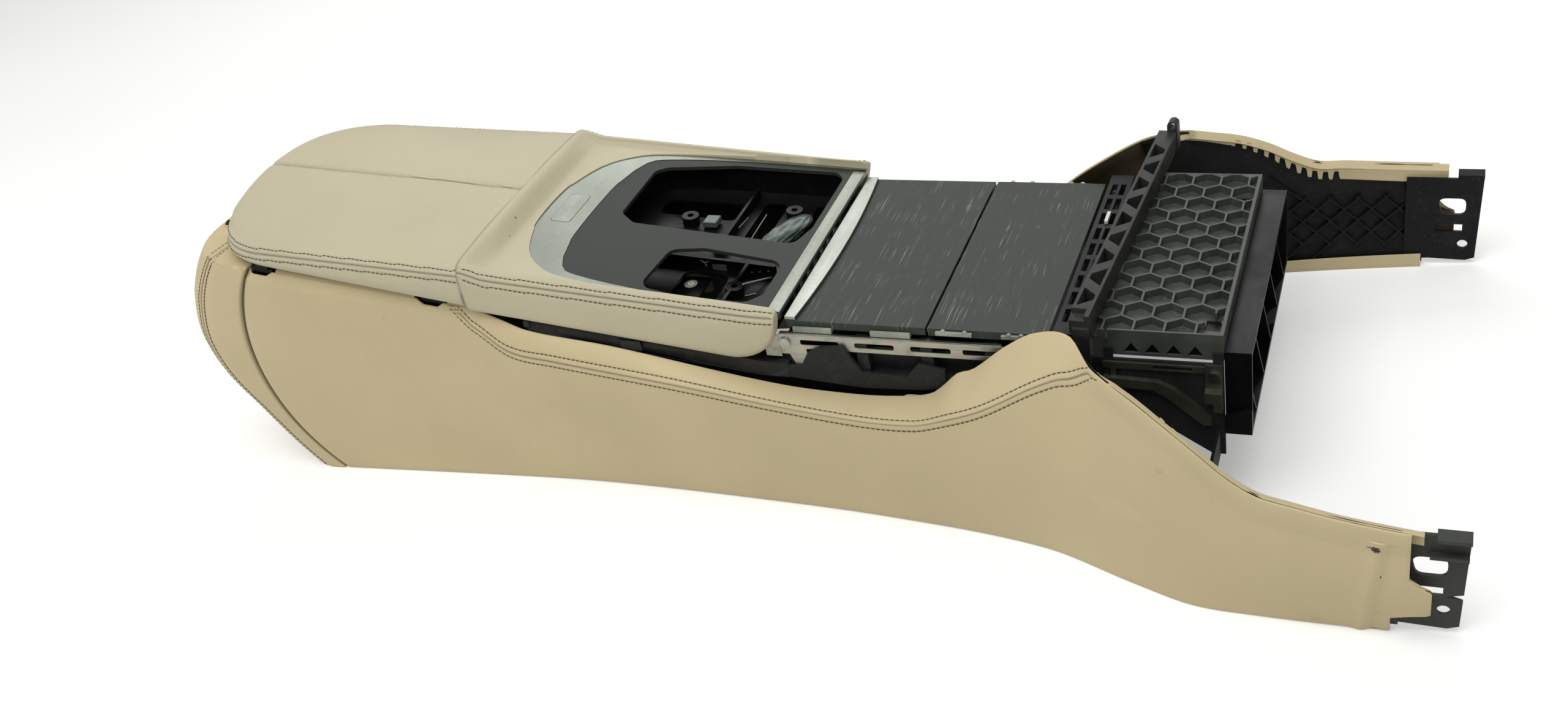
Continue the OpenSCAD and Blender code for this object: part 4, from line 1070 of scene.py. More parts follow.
# Columns from a side edge to the seam's band, in the band, and on to the middle
EDGE_COLUMNS = 18
BAND_COLUMNS = 36
BACK_COLUMNS = 30
REAR_HALF = EDGE_COLUMNS + BAND_COLUMNS + BACK_COLUMNS

# Rows of the hide and of its stitches where it is turned in over the top edge
REAR_LIP = (4.5, 8, 13, 19, 26, 34, 43)
REAR_LIP_STITCHES = (5, 9, 13, 17, 21, 25)


def rear_lengths(z, out=0.0):
    """Side flat, corner arc and half of the back of the rear panel at a height."""
    w = HALF_W + curve(REAR_FLARE, z) + out
    back = curve(REAR_LINE, z) - out
    flank = max(seam_reach(z) - SEAM_GAP - (back + CORNER_R), 1.0)
    return flank, math.pi / 2 * CORNER_R, w - CORNER_R


def rear_point(z, d, side, out=0.0):
    """Point of the rear panel at height z and distance d from its side edge, with out added.

    It comes with the level direction out of the leather.
    """
    w = HALF_W + curve(REAR_FLARE, z) + out
    back = curve(REAR_LINE, z) - out
    r = CORNER_R
    flank, arc, _ = rear_lengths(z, out)
    if d <= flank:
        return seam_reach(z) - SEAM_GAP - d, side * w, (0, side)
    d -= flank
    if d <= arc:
        a = d / r
        c = math.cos(a)
        t = math.sin(a)
        return back + r - r * t, side * (w - r + r * c), (-t, side * c)
    return back, side * (w - r - (d - arc)), (-1, 0)


def rear_column(z, i):
    """Distance from the side edge of column i: the columns crowd together at the seam."""
    flank, arc, half = rear_lengths(z)
    low = flank + REAR_SEAM - REAR_BAND
    high = flank + REAR_SEAM + REAR_BAND
    if i < EDGE_COLUMNS:
        return low * (i / EDGE_COLUMNS) ** 1.2
    if i < EDGE_COLUMNS + BAND_COLUMNS:
        return lerp(low, high, (i - EDGE_COLUMNS) / BAND_COLUMNS)
    return lerp(high, flank + arc + half, (i - EDGE_COLUMNS - BAND_COLUMNS) / BACK_COLUMNS)


def rear_rim(x):
    """Height of the rear panel's top, below the lids."""
    return lid_z(x) - LID_GAP


def rear_height(w, side, place):
    """Height at share w between floor and top, with the point; place gives the distance there."""
    z = lerp(-200.0, 35.0, w)
    for _ in range(5):
        spot = rear_point(z, place(z), side)
        z = lerp(floor_z(spot[0]), rear_rim(spot[0]), w)
    return z, spot


def rear_strip(i, side, offset):
    """Closed strip of the rear hide in one column, and its painted shade."""
    outer = []
    marks = []
    for j in range(REAR_LEVELS + 1):
        w = 1 - (1 - j / REAR_LEVELS) ** 1.3
        z, spot = rear_height(w, side, lambda z: rear_column(z, i))
        d = rear_column(z, i)
        dip, dark = seam_dip_and_painted_shade(d - rear_lengths(z)[0] - REAR_SEAM, offset)
        rim = rear_rim(spot[0])
        x, y, n = rear_point(z, d, side, -dip - drop(d, 4.0) - drop(rim - z, 2.5))
        outer.append((x, y, z, n, rim - REAR_HIDE))
        # Painted shade along the seam and in the joint at the side edge; the turned-in lip keeps the
        # last row's value
        marks.append(max(dark, 0.9 * bell(d, 0, 1.2)))
    front = [deck(x, y, z) for x, y, z, n, rim in outer]
    back = [deck(x - n[0] * REAR_HIDE, y - n[1] * REAR_HIDE, min(z, rim))
            for x, y, z, n, rim in outer]
    for reach in REAR_LIP:
        x, y, n = rear_point(z, d, side, -reach)
        front.append(deck(x, y, rear_rim(x)))
        back.append(deck(x, y, rear_rim(x) - REAR_HIDE))
        marks.append(dark)
    return front + back[::-1], marks + [0.0] * len(marks)


def rear_stitch_line(side, shift):
    """Stitch line beside one of the rear panel's seams, over the top edge and inwards."""

    def place(z):
        return rear_lengths(z)[0] + REAR_SEAM + shift

    line = []
    for j in range(110):
        z, (x, y, n) = rear_height(0.015 + 0.975 * j / 109, side, place)
        line.append((deck(x, y, z), deck_turn((n[0], n[1], 0))))
    for reach in REAR_LIP_STITCHES:
        x, y, n = rear_point(z, place(z), side, -reach)
        line.append((deck(x, y, rear_rim(x) - 0.1), deck_turn((0, 0, 1))))
    return line


def rear_leather():
    """The hide of the rear panel, turned in at its top, and its stitches."""
    conf = settings()
    offset = conf.seam_offset / MM
    columns = [(i, -1) for i in range(REAR_HALF + 1)]
    columns += [(i, 1) for i in range(REAR_HALF - 1, -1, -1)]
    strips = [rear_strip(i, side, offset) for i, side in columns]
    mesh = grid_mesh("rear_leather", [points for points, marks in strips], caps=True,
                     tint=[marks for points, marks in strips])
    obj = finish_object("rear_leather", mesh, "console", palette(conf)["side_leather"],
                        ["rear_panel"])
    lines = [rear_stitch_line(side, shift) for side in (-1, 1) for shift in (-offset, offset)]
    sew("rear_stitches", lines, "console")


# Armrest and surround


SECTION_STEPS = 8  # steps of each stretch of a smooth section
LID_POINTS = 84
SURROUND_POINTS = 96
STITCH_SINK = 0.1


def lid_half_width(e):
    """Half of the armrest's width at distance e from its rear end."""
    u = 1 - e / LID_LEN
    return lerp(HALF_W + OVERHANG, HALF_W - 2, u) - drop(e, 70.0)


def lid_section(e):
    """Outer line of the left lid at distance e from its rear end, from the middle seam outwards.

    hc and he are its heights at the middle and at its outer edge.
    """
    u = 1 - e / LID_LEN
    w = lid_half_width(e)
    fall = drop(e, 12.0) + drop(LID_LEN - e, 4.0)
    hc = lerp(52.0, 37.0, u) - fall
    he = lerp(44.0, 21.0, u) - fall * 0.6
    low = min(1.0, (he - 11) / 14)
    g = 0.8  # half of the gap between the lids
    return [
        (g, 0), (g, hc - 7), (g + 0.6, hc - 2.6), (g + 3.4, hc), (w * 0.25, hc - (hc - he) * 0.06),
        (w * 0.5, hc - (hc - he) * 0.24), (w * 0.8, lerp(hc, he, 0.66)), (w - 11, he - 0.4),
        (w - 5, he - 3.6), (w - 1.6, he - 9.5), (w, lerp(8 * low, he - 11, 0.45)), (w - 1.2, 8 * low),
        (w - 5, 3.6 * low), (w - 10, 1.4 * low), (w - 13, 0),
    ]


def path_lengths(path):
    """Length along a flat path up to each of its points."""
    lengths = [0.0]
    for a, b in zip(path, path[1:]):
        lengths.append(lengths[-1] + math.dist(a, b))
    return lengths


def resampled(path, count, focus=None, width=14.0, share=0.45):
    """Points along a path and their lengths: even, or with a share of them round a length."""
    lengths = path_lengths(path)
    total = lengths[-1]
    stops = [total * i / (count - 1) for i in range(count)]
    if focus is not None:
        inner = int(count * share)
        outer = count - inner
        low = max(focus - width, 0)
        high = min(focus + width, total)
        first = int(clamp(round(outer * low / max(total - high + low, 1e-6)), 2, outer - 2))
        stops = [low * i / first for i in range(first)]
        stops += [lerp(low, high, i / inner) for i in range(inner)]
        stops += [lerp(high, total, i / (outer - first - 1)) for i in range(outer - first)]
    out = []
    k = 0
    for s in stops:
        while k < len(lengths) - 2 and lengths[k + 1] < s:
            k += 1
        t = clamp((s - lengths[k]) / max(lengths[k + 1] - lengths[k], 1e-6))
        a = path[k]
        b = path[k + 1]
        out.append((lerp(a[0], b[0], t), lerp(a[1], b[1], t)))
    return out, stops


def band_seam(path, fall):
    """Length along a section at which the shoulder seam lies, past the start of its flank."""
    peak = max(p[0] for p in path)
    flank = next(i for i, p in enumerate(path) if p[0] > peak - 4.2)
    return path_lengths(path)[flank - 1] + fall


def seam_profile(points, stops, focus, offset, amount):
    """Points of a section with their normals, and how deep the seam is and how much painted shade it
    gets at each.
    """
    for i, (p, s) in enumerate(zip(points, stops)):
        dip, dark = seam_dip_and_painted_shade(s - focus, offset)
        yield p, normal_left(*neighbours(points, i)), dip * amount, dark * amount


def lid_path(e):
    """Smooth section of the left lid and the place of its seam."""
    path = smooth_path(lid_section(e), SECTION_STEPS)
    return path, band_seam(path, 4.0)


def lid_surface(e, offset):
    """Section of the left lid with its seam pressed in, and its painted shade."""
    path, focus = lid_path(e)
    points, stops = resampled(path, LID_POINTS, focus)
    amount = ease(e / 6) * ease((LID_LEN - e) / 3 + 0.4)
    out = []
    marks = []
    for p, n, dip, dark in seam_profile(points, stops, focus, offset, amount):
        crown = 1.3 * math.sin(math.pi * clamp(p[0] / 118)) * math.sin(math.pi * e / LID_LEN)
        lift = crown if n[1] > 0.5 else 0.0
        out.append((p[0] - n[0] * dip, p[1] + lift - n[1] * dip))
        marks.append(dark)
    return out, marks


def lid_stations():
    """Distances from the rear end of a lid, close together at both ends."""
    near = [0, 0.4, 1, 1.8, 3, 4.6, 6.6, 9, 12, 15.5, 20, 25, 31, 38, 46, 56, 66, 76]
    middle = [76 + 6.7 * i for i in range(1, 31)]
    end = [LID_LEN - d for d in (12, 8, 5.4, 3.6, 2.2, 1.2, 0.5, 0)]
    return near + [m for m in middle if m < LID_LEN - 14] + end


def armrest_lids():
    """Both padded lids with their stitches, each on its own body."""
    conf = settings()
    offset = conf.seam_offset / MM
    table = []
    painted_shades = []
    for e in lid_stations():
        points, marks = lid_surface(e, offset)
        table.append([deck(*lid_point(e - LID_LEN, y, z)) for y, z in points])
        # Painted shade along the seam, at the lid's front end next to the surround and beside the gap
        # between the lids
        painted_shades.append([max(m, bell(LID_LEN - e, 0, 2.4), 0.7 if 0 < j < 3 else 0)
                       for j, m in enumerate(marks)])
    for side, rows in (("left", table), ("right", mirrored(table))):
        mesh = closed_skin("armrest_" + side, rows, painted_shades)
        obj = finish_object("armrest_" + side, mesh, "lid_" + side, palette(conf)["top_leather"],
                            ["armrest_pad_" + side], sharp=60)
        lines = lid_stitch_lines(offset, 1 if side == "left" else -1)
        sew("armrest_stitches_" + side, lines, "lid_" + side)


def closed_skin(name, rows, painted_shades):
    """Closed mesh over open sections: the bottom edges are joined and both ends capped."""
    n = len(rows[0])
    last = (len(rows) - 1) * n
    faces = skin_faces(rows)
    faces.append(tuple(range(n - 1, -1, -1)))
    faces.append(tuple(last + j for j in range(n)))
    mesh = new_mesh(name, [p for row in rows for p in row], faces)
    set_painted_shade(mesh, painted_shades)
    return outward(mesh, merge=1e-6)


def surface_lines(section_at, stations, shifts, place):
    """Lines that run at fixed distances from the seam of a family of sections."""
    lines = []
    count = 160
    for shift in shifts:
        line = []
        for s in stations:
            path, focus = section_at(s)
            points, stops = resampled(path, count)
            k = min(range(count - 1), key=lambda i: abs(stops[i] - focus - shift))
            n = normal_left(*neighbours(points, k))
            sunk = (points[k][0] - n[0] * STITCH_SINK, points[k][1] - n[1] * STITCH_SINK)
            line.append(place(s, sunk, n))
        lines.append(line)
    return lines


def lid_stitch_lines(offset, sign):
    """Stitch lines on both sides of a lid's shoulder seam."""
    def place(e, p, n):
        a = deck(*lid_point(e - LID_LEN, p[0] * sign, p[1]))
        b = deck(*lid_point(e - LID_LEN, (p[0] + n[0]) * sign, p[1] + n[1]))
        return a, (b - a).normalized()

    stations = [5 + (LID_LEN - 7) * (i / 140) ** 1.35 for i in range(141)]
    return surface_lines(lid_path, stations, (-offset, offset), place)


def pad_section(x):
    """Outer line of the surround's left half at a station, from the middle outwards.

    zi is the height of the trim, zb of the flank's foot, zt of its shoulder and zc of the middle.
    """
    e = TRIM_X - x
    w = HALF_W + OVERHANG
    zi = trim_z(x)
    zb = min(lid_z(x) + drop(e, NOSE_R), zi - 3)
    rear = clamp((LID_X + 26 - x) / 20)
    zt = zi + lerp(7, 12, rear) - drop(e, 6.0) * 0.6
    zc = lerp(zi + 1, LID_Z + 52, ease(rear))
    return [
        (0, zc), (w * 0.25, lerp(zc, zt, 0.04 * rear)), (w * 0.5, lerp(zc, zt, 0.15 * rear)),
        (w * 0.86, lerp(zi + 1.5, zt + 1, rear)), (w - 11, zt), (w - 5, lerp(zt, zb, 0.055)),
        (w - 1.6, lerp(zt, zb, 0.2)), (w, lerp(zt, zb, 0.38)), (w - 0.4, lerp(zt, zb, 0.8)),
        (w - 2, lerp(zt, zb, 0.95)), (w - 6, zb),
    ]


def pad_path(x):
    """Smooth section of the surround's left half and the place of its seam."""
    path = smooth_path(pad_section(x), SECTION_STEPS)
    return path, band_seam(path, 4.5)


def surround_stations():
    """Stations of the surround from front to rear, close together at both ends."""
    near = [TRIM_X - e for e in (0, 0.4, 1, 2, 3.4, 5, 7.5, 11, 15, 20, 26, 33)]
    middle = [TRIM_X - 40 - 5.2 * i for i in range(45)]
    end = [LID_X + d for d in (24, 21, 18, 15, 12, 9, 6.5, 4.5, 3, 1.8, 0.8, 0.2)]
    return near + [x for x in middle if x > LID_X + 24] + end


def surround_row(x, offset):
    """Section of the surround at a station, from side to side, and its painted shade."""
    path, focus = pad_path(x)
    points, stops = resampled(path, SURROUND_POINTS, focus)
    amount = ease((TRIM_X - x) / 4 + 0.2)
    back = drop(x - LID_X, 3.0) * 0.8
    out = []
    marks = []
    for p, n, dip, dark in seam_profile(points, stops, focus, offset, amount):
        out.append((p[0] - n[0] * (dip + back), p[1] - n[1] * (dip + back)))
        # Painted shade along the seam and in the gap to the lids
        marks.append(max(dark, bell(x, LID_X, 2.6)))
    full = [(-y, z) for y, z in reversed(out)] + out[1:]
    return [deck(x, y, z) for y, z in full], marks[::-1] + marks[1:]


def surround():
    """Padded surround of the shift plate: a hide ring round the trim."""
    conf = settings()
    offset = conf.seam_offset / MM
    rows = [surround_row(x, offset) for x in surround_stations()]
    mesh = closed_skin("surround", [points for points, marks in rows],
                       [marks for points, marks in rows])
    obj = finish_object("surround", mesh, "console", palette(conf)["top_leather"], ["pad_frame"],
                        sharp=60)
    cut_by_trim(obj)
    lines = []
    stations = [TRIM_X - 4 - 288 * i / 150 for i in range(151)]
    for sign in (1, -1):
        def place(x, p, n, sign=sign):
            return deck(x, p[0] * sign, p[1]), deck_turn((0, n[0] * sign, n[1]))

        lines += surface_lines(pad_path, stations, (-offset, offset), place)
    sew("surround_stitches", lines, "console")


def trim_curve(grow):
    """Outline of the trim's edge in its plane, grown by a distance."""
    stations = [*range(0, 196, 15), *range(203, 268, 6)]
    half = [(-i, curve(TRIM_EDGE, i) + grow) for i in stations]
    for k in range(7):
        a = math.radians(15 * k)
        half.append((-lerp(270, 274, math.sin(a)) - grow * math.sin(a), (40 + grow) * math.cos(a)))
    return half


def cut_by_trim(obj):
    """Opens the surround where the trim sits, with the CAD's clearance."""
    half = trim_curve(0.2)
    half = [(26, half[0][1])] + half
    outline = half + [(x, -y) for x, y in reversed(half[:-1])]
    verts = [deck(*trim_point(x, y, z)) for z in (-90, 90) for x, y in outline]
    n = len(outline)
    faces = [tuple(range(n)), tuple(range(2 * n - 1, n - 1, -1))]
    faces += [(i, i + n, (i + 1) % n + n, (i + 1) % n) for i in range(n)]
    cutter = linked("trim_cut", outward(new_mesh("trim_cut", verts, faces)))
    modifier = obj.modifiers.new("Cut", "BOOLEAN")
    modifier.operation = "DIFFERENCE"
    modifier.solver = "EXACT"
    modifier.object = cutter
    plain = as_mesh(obj)
    obj.modifiers.remove(modifier)
    old = obj.data
    obj.data = plain
    bpy.data.meshes.remove(old)
    bpy.data.objects.remove(cutter)
    plain.set_sharp_from_angle(angle=math.radians(55))


# Hard parts


def add_bevel(obj, width):
    """Small rounded edges of a width in metres."""
    bevel = obj.modifiers.new("Rounded edges", "BEVEL")
    bevel.width = width
    bevel.segments = 2
    return bevel


def crisp(node, material, radius, sharp=30):
    """A copy of a CAD node with merged points and small rounded edges, in its material."""
    source = frame["nodes"][node]
    bm = bmesh.new()
    bm.from_mesh(source.data)
    bmesh.ops.remove_doubles(bm, verts=bm.verts, dist=2e-6)
    bmesh.ops.join_triangles(bm, faces=bm.faces, angle_face_threshold=0.01,
                             angle_shape_threshold=math.pi)
    mesh = bpy.data.meshes.new(node + "_dressed")
    bm.to_mesh(mesh)
    bm.free()
    obj = finish_object(node + "_dressed", mesh, source["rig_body"], material, [node], sharp)
    if radius:
        bevel = add_bevel(obj, radius * MM * settings().edge_round)
        bevel.limit_method = "ANGLE"
        bevel.angle_limit = math.radians(sharp)
        bevel.use_clamp_overlap = True
        bevel.harden_normals = True


# Material and edge radius in millimetres of every hard node; radius 0 keeps the edges sharp
HARD = {
    "trim_ring": ("satin", 0.9), "front_bar": ("satin", 0.8), "release_button": ("satin", 1.1),
    "shift_plate": ("plate", 0.6), "plate_carrier": ("black_gloss", 0.3),
    "rear_slat": ("veneer", 0.5), "front_slat": ("veneer", 0.5), "handle_strip": ("bright", 0.6),
    "fold_hinge": ("steel", 0), "rear_sliders": ("runner", 0.3), "front_sliders": ("runner", 0.3),
    "guide_rail_right": ("zinc", 0.2), "guide_rail_left": ("zinc", 0.2),
    "runner_strip_right": ("edge", 0.2), "runner_strip_left": ("edge", 0.2),
    "front_rail_right": ("zinc_dark", 0.3), "front_rail_left": ("zinc_dark", 0.3),
    "clamp_bracket_right": ("zinc_dark", 0.3), "clamp_bracket_left": ("zinc_dark", 0.3),
    "rail_screws": ("steel", 0.3), "clamp_screws": ("steel", 0.3),
    "rail_beam_right": ("frame", 0.4), "rail_beam_left": ("frame", 0.4),
    "cover_arm_right": ("frame", 0.4), "cover_arm_left": ("frame", 0.4),
    "honeycomb_cover": ("ribbed", 0.25), "cross_brace": ("brace", 0.35),
    "brace_leg": ("frame", 0.4), "clip_strip": ("black", 0.3), "spring_clip": ("clip", 0.2),
    "front_housing": ("black_gloss", 0.4),
    "side_carrier_right": ("carrier", 0.3), "side_carrier_left": ("carrier", 0.3),
    "carrier_frame": ("frame", 0.4), "storage_bin": ("bin", 0.4), "bin_mat": ("felt", 0),
    "lid_pan_right": ("black", 0.3), "lid_pan_left": ("black", 0.3),
    "hinge_pins_right": ("steel", 0), "hinge_pins_left": ("steel", 0),
    "latch_housing": ("black", 0.3), "cup_tray": ("black", 0.4),
}


def box_piece(name, low, high, material, edge=0.0):
    """A box between two corners in the deck frame."""
    verts = [deck(x, y, z) for z in (low[2], high[2]) for x, y in (
        (low[0], low[1]), (high[0], low[1]), (high[0], high[1]), (low[0], high[1]))]
    faces = [(3, 2, 1, 0), (4, 5, 6, 7)] + [
        (i, (i + 1) % 4, (i + 1) % 4 + 4, i + 4) for i in range(4)]
    mesh = outward(new_mesh(name, verts, faces))
    obj = finish_object(name, mesh, "console", material, sharp=30)
    if edge:
        add_bevel(obj, edge * MM)


HEM_DEPTH = 9.8
HEM_HIDE = 1.1
FINGER_PITCH = 9.2


def hem_height(x):
    """How far the hide's top hem reaches down inside the arm, with the fingers cut into it."""
    reach = lerp(7, 10, ease((x - 168) / 40))
    reach = lerp(reach, 16, ease((x - 200) / 60))
    phase = ((x - 196) / FINGER_PITCH) % 1.0
    slot = ease((phase - 0.3) / 0.12) * (1 - ease((phase - 0.84) / 0.12))
    inside = ease((x - 194) / 3) * (1 - ease((x - 287) / 3))
    return reach - 8 * slot * inside


def top_hem(x):
    """Section of the hem that is turned in over the arm's top edge."""
    t = panel_lines(x)[2]
    high = panel_spans(x)[1]
    sink = 1 + 3 * (1 - ease((x - 150) / 16))
    path = [(t[0] - SIDE_HIDE, t[1] - sink), (t[0] - HEM_DEPTH * 0.6, t[1] - sink - 1.4),
            (t[0] - HEM_DEPTH, t[1] - sink - 3)]
    for k in range(9):
        y, z = panel_point(x, 2 - lerp(sink + 4.5, hem_height(x), k / 8) / high)
        path.append((y - HEM_DEPTH, z))
    return path[::-1]


def low_hem(x):
    """Section of the hem that is turned in over the arm's lower edge."""
    b = panel_lines(x)[0]
    reach = 10 * ease((x - 203) / 18) + 1.5
    path = [(b[0] - 1.5, b[1] + 0.4), (b[0] - HEM_DEPTH * 0.6, b[1] + 0.3),
            (b[0] - HEM_DEPTH, b[1] + 0.6)]
    for k in range(1, 7):
        y, z = panel_point(x, reach * k / 6 / panel_spans(x)[0])
        path.append((y - HEM_DEPTH, z))
    return path


def plain_tint(rows, tone):
    """The same painted shade for every point of the rows."""
    return [[tone] * len(row) for row in rows]


def arm_hems():
    """Turned in hems of the side leather on the inner faces of both arms."""
    leather_finish = palette(settings())["side_leather"]
    for name, section, first, last, steps in (
        ("top", top_hem, 150.0, ARM_END + 8, 280), ("low", low_hem, 205.0, ARM_END - 12, 100),
    ):
        rows = []
        for i in range(steps + 1):
            x = lerp(first, last, i / steps)
            rows.append([on_floor(deck(x, y, z)) for y, z in ring_about(section(x), HEM_HIDE, 4)])
        for side, points in (("left", rows), ("right", mirrored(rows))):
            title = "arm_hem_" + name + "_" + side
            mesh = grid_mesh(title, points, caps=True, tint=plain_tint(rows, 0.0))
            finish_object(title, mesh, "console", leather_finish)


def cover_shade_sheets():
    """Black sheets in the hooks' openings and behind the notches of the ribbed cover: painted shade
    where the floor would show through.
    """
    black = palette(settings())["black_gloss"]
    for sign in (-1, 1):
        y = sorted((sign * 119.05, sign * 119.5))
        box_piece("notch_lining", (150, y[0], -10), (222, y[1], 0.5), black)
    for y in (-99, 85):
        box_piece("hook_lining", (216, y - 8, 2.1), (230, y + 8, 2.6), black)


def bar_piece(name, a, b, radius, material):
    """A thin round bar between two points of the deck frame."""
    a = deck(*a)
    b = deck(*b)
    along = (b - a).normalized()
    u = along.orthogonal().normalized() * radius * MM
    v = along.cross(u)
    angles = [math.tau * k / 10 for k in range(10)]
    rows = [[p + u * math.cos(t) + v * math.sin(t) for t in angles] for p in (a, b)]
    finish_object(name, grid_mesh(name, rows, caps=True), "console", material)


def washer(name, place, inner, outer, height, material):
    """A flat ring that lies in the deck frame."""
    rows = []
    for k in range(41):
        a = math.tau * k / 40
        rows.append([deck(place[0] + r * math.cos(a), place[1] + r * math.sin(a), place[2] + h)
                     for r, h in ((inner, 0), (outer, 0), (outer, height), (inner, height))])
    mesh = outward(grid_mesh(name, rows), merge=1e-7)
    finish_object(name, mesh, "console", material)


def film_lump(name, place, size, turn, material):
    """A crumpled film hood: a flattened ball with folds."""
    c = math.cos(turn)
    t = math.sin(turn)
    rows = []
    for i in range(1, 24):
        tilt = math.pi * i / 24
        ring = []
        for k in range(48):
            a = math.tau * k / 48
            fold = 1 + 0.07 * math.sin(5 * a + 3 * tilt) + 0.05 * math.sin(11 * a - 7 * tilt)
            x = math.sin(tilt) * math.cos(a) * size[0] * fold
            y = -math.cos(tilt) * size[1]
            z = math.sin(tilt) * math.sin(a) * size[2] * fold
            ring.append(deck(place[0] + x * c - y * t, place[1] + x * t + y * c, place[2] + z))
        rows.append(ring)
    finish_object(name, grid_mesh(name, rows, caps=True), "console", material)


# Wires and pins in the openings: both ends in the deck frame and radius
THIN_WIRE = 0.35
WIRES = [
    ((-240, -26.4, -4), (-236, -26.4, -7), THIN_WIRE),
    ((-236, -26.4, -7), (-232, -26.4, -5), THIN_WIRE),
    ((-236, -26.4, -7), (-235, -26.4, -10.5), THIN_WIRE),
    ((-185.4, -59.1, -6), (-171.2, -29.8, -17), 0.9),
    ((-184, -62, -16.2), (-176, -56, -17), 0.4),
    ((-192, -26.5, -14.9), (-190, -26.5, -14.9), 0.6),
    ((-184, -26.5, -14), (-182, -26.5, -14), 0.6),
    ((-175.5, -26.5, -12.8), (-173.5, -26.5, -12.8), 0.6),
    ((-230, 41, -11), (-228.6, 62, -12), 0.45),
    ((-208, -8, -9), (-215, 74, -15.5), 0.45),
]


def inner_fittings():
    """Small things seen inside the openings of the shift plate."""
    pal = palette(settings())
    black = pal["black_gloss"]
    pale = pal["clip"]
    box_piece("socket_plate", (-263, -62, -24.4), (-232, -26.2, -22.4), black, 0.3)
    washer("socket_ring", (-248.1, -38.9, -22.4), 3.0, 6.2, 0.6, pal["runner"])
    washer("socket_core", (-248.1, -38.9, -22.3), 1.3, 2.9, 1.1, pale)
    box_piece("foil_patch", (-229, -27.2, -19), (-215, -26.1, -8), pal["film"], 0.4)
    box_piece("clip_block", (-264, 36, -9), (-250, 50, -3), pal["film"], 0.8)
    for a, b, radius in WIRES:
        bar_piece("wire", a, b, radius, pale if radius == THIN_WIRE else pal["runner"])
    film_lump("film_hood", (-182, 40, -13), (13, 33, 7), math.radians(-24), pal["film"])


def rail_tabs():
    """Ends of the rails below the nose of the surround, and black sheets behind the frame as painted
    shade.
    """
    pal = palette(settings())
    for sign in (-1, 1):
        y = sorted((sign * 122.9, sign * 124.0))
        box_piece("rail_tab", (-143, y[0], -33), (-128.6, y[1], -11), pal["zinc"], 0.3)
        # Black sheet behind the frame: painted shade
        y = sorted((sign * 107.5, sign * 108.0))
        box_piece("frame_lining", (-134, y[0], -120), (-58, y[1], -66), pal["black_gloss"])


def lid_piping():
    """Leather bead on the side panels' top edge that closes the joint below the lids."""
    leather_finish = palette(settings())["side_leather"]
    arc = [math.radians(lerp(26, 100, k / 8)) for k in range(9)]
    ring = [(HINGE_Y + r * math.cos(a), r * math.sin(a) - HINGE_DROP)
            for r, angles in ((6.3, arc), (5.2, arc[::-1])) for a in angles]
    for side in (-1, 1):
        for first, last in ((-213, -62), (-27, -6)):
            rows = [[deck(*lid_point(lerp(first, last, i / 60), side * y, z)) for y, z in ring]
                    for i in range(61)]
            # Painted shade on the bead, which lies in the joint under the lids
            mesh = grid_mesh("lid_piping", rows, caps=True, tint=plain_tint(rows, 0.25))
            finish_object("lid_piping", mesh, "console", leather_finish)


def hard_parts():
    """Dresses every metal and plastic node."""
    pal = palette(settings())
    for node, (key, radius) in HARD.items():
        crisp(node, pal[key], radius)


# Stage


# Camera in the deck frame, with its focal length and the photograph's width in pixels
CAMERA = (380.9, -1116.7, 714.4)
CAMERA_YAW = math.radians(-27.08)
CAMERA_PITCH = math.radians(33.71)
CAMERA_ROLL = math.radians(12.07)
CAMERA_FOCUS = 2605.0
IMAGE_WIDTH = 2560.0

FLOOR_HALF = 6.0
FLOOR_GLOW = 0.3


def place_camera():
    """The camera of the photograph."""
    level = math.cos(CAMERA_PITCH)
    forward = Vector((math.sin(CAMERA_YAW) * level, math.cos(CAMERA_YAW) * level,
                      -math.sin(CAMERA_PITCH)))
    right = Vector((math.cos(CAMERA_YAW), -math.sin(CAMERA_YAW), 0))
    down = forward.cross(right)
    across = right * math.cos(CAMERA_ROLL) + down * math.sin(CAMERA_ROLL)
    below = down * math.cos(CAMERA_ROLL) - right * math.sin(CAMERA_ROLL)
    axes = [deck_turn(across), -deck_turn(below), -deck_turn(forward)]
    data = bpy.data.cameras.new("camera")
    data.sensor_width = 36.0
    data.lens = CAMERA_FOCUS / IMAGE_WIDTH * data.sensor_width
    data.clip_end = 50
    camera = linked("camera", data)
    camera.matrix_world = Matrix.Translation(deck(*CAMERA)) @ Matrix(axes).transposed().to_4x4()
    bpy.context.scene.camera = camera


def add_light(name, place, aim, size, power, tint=(1.0, 1.0, 1.0)):
    data = bpy.data.lights.new(name, "AREA")
    data.shape = "RECTANGLE"
    data.size = size[0]
    data.size_y = size[1]
    data.energy = power
    data.color = tint
    lamp = linked(name, data)
    lamp.location = place
    lamp.rotation_euler = (Vector(aim) - Vector(place)).to_track_quat("-Z", "Y").to_euler()


def stage_material():
    """Pale floor: white to the camera, pale grey for bounced light and reflections."""
    n = Nodes("stage")
    tree = n.tree
    path = n.node("ShaderNodeLightPath")
    seen = path.outputs["Is Camera Ray"]
    cloud = n.noise(1.5, 3, 0.5)
    tone = n.mix(n.ramp(cloud, 0.3, 0.7), (236, 236, 234), (240, 240, 238))
    n.finish(tone, 0.9, Specular_IOR_Level=0.1)
    glow = n.node("ShaderNodeEmission", {"Color": (1, 1, 1, 1)})
    n.set(glow.inputs["Strength"], n.math("MULTIPLY", seen, FLOOR_GLOW))
    total = n.node("ShaderNodeAddShader")
    tree.links.new(n.shader.outputs[0], total.inputs[0])
    tree.links.new(glow.outputs[0], total.inputs[1])
    out = next(k for k in tree.nodes if k.type == "OUTPUT_MATERIAL")
    tree.links.new(total.outputs[0], out.inputs["Surface"])
    return n.material


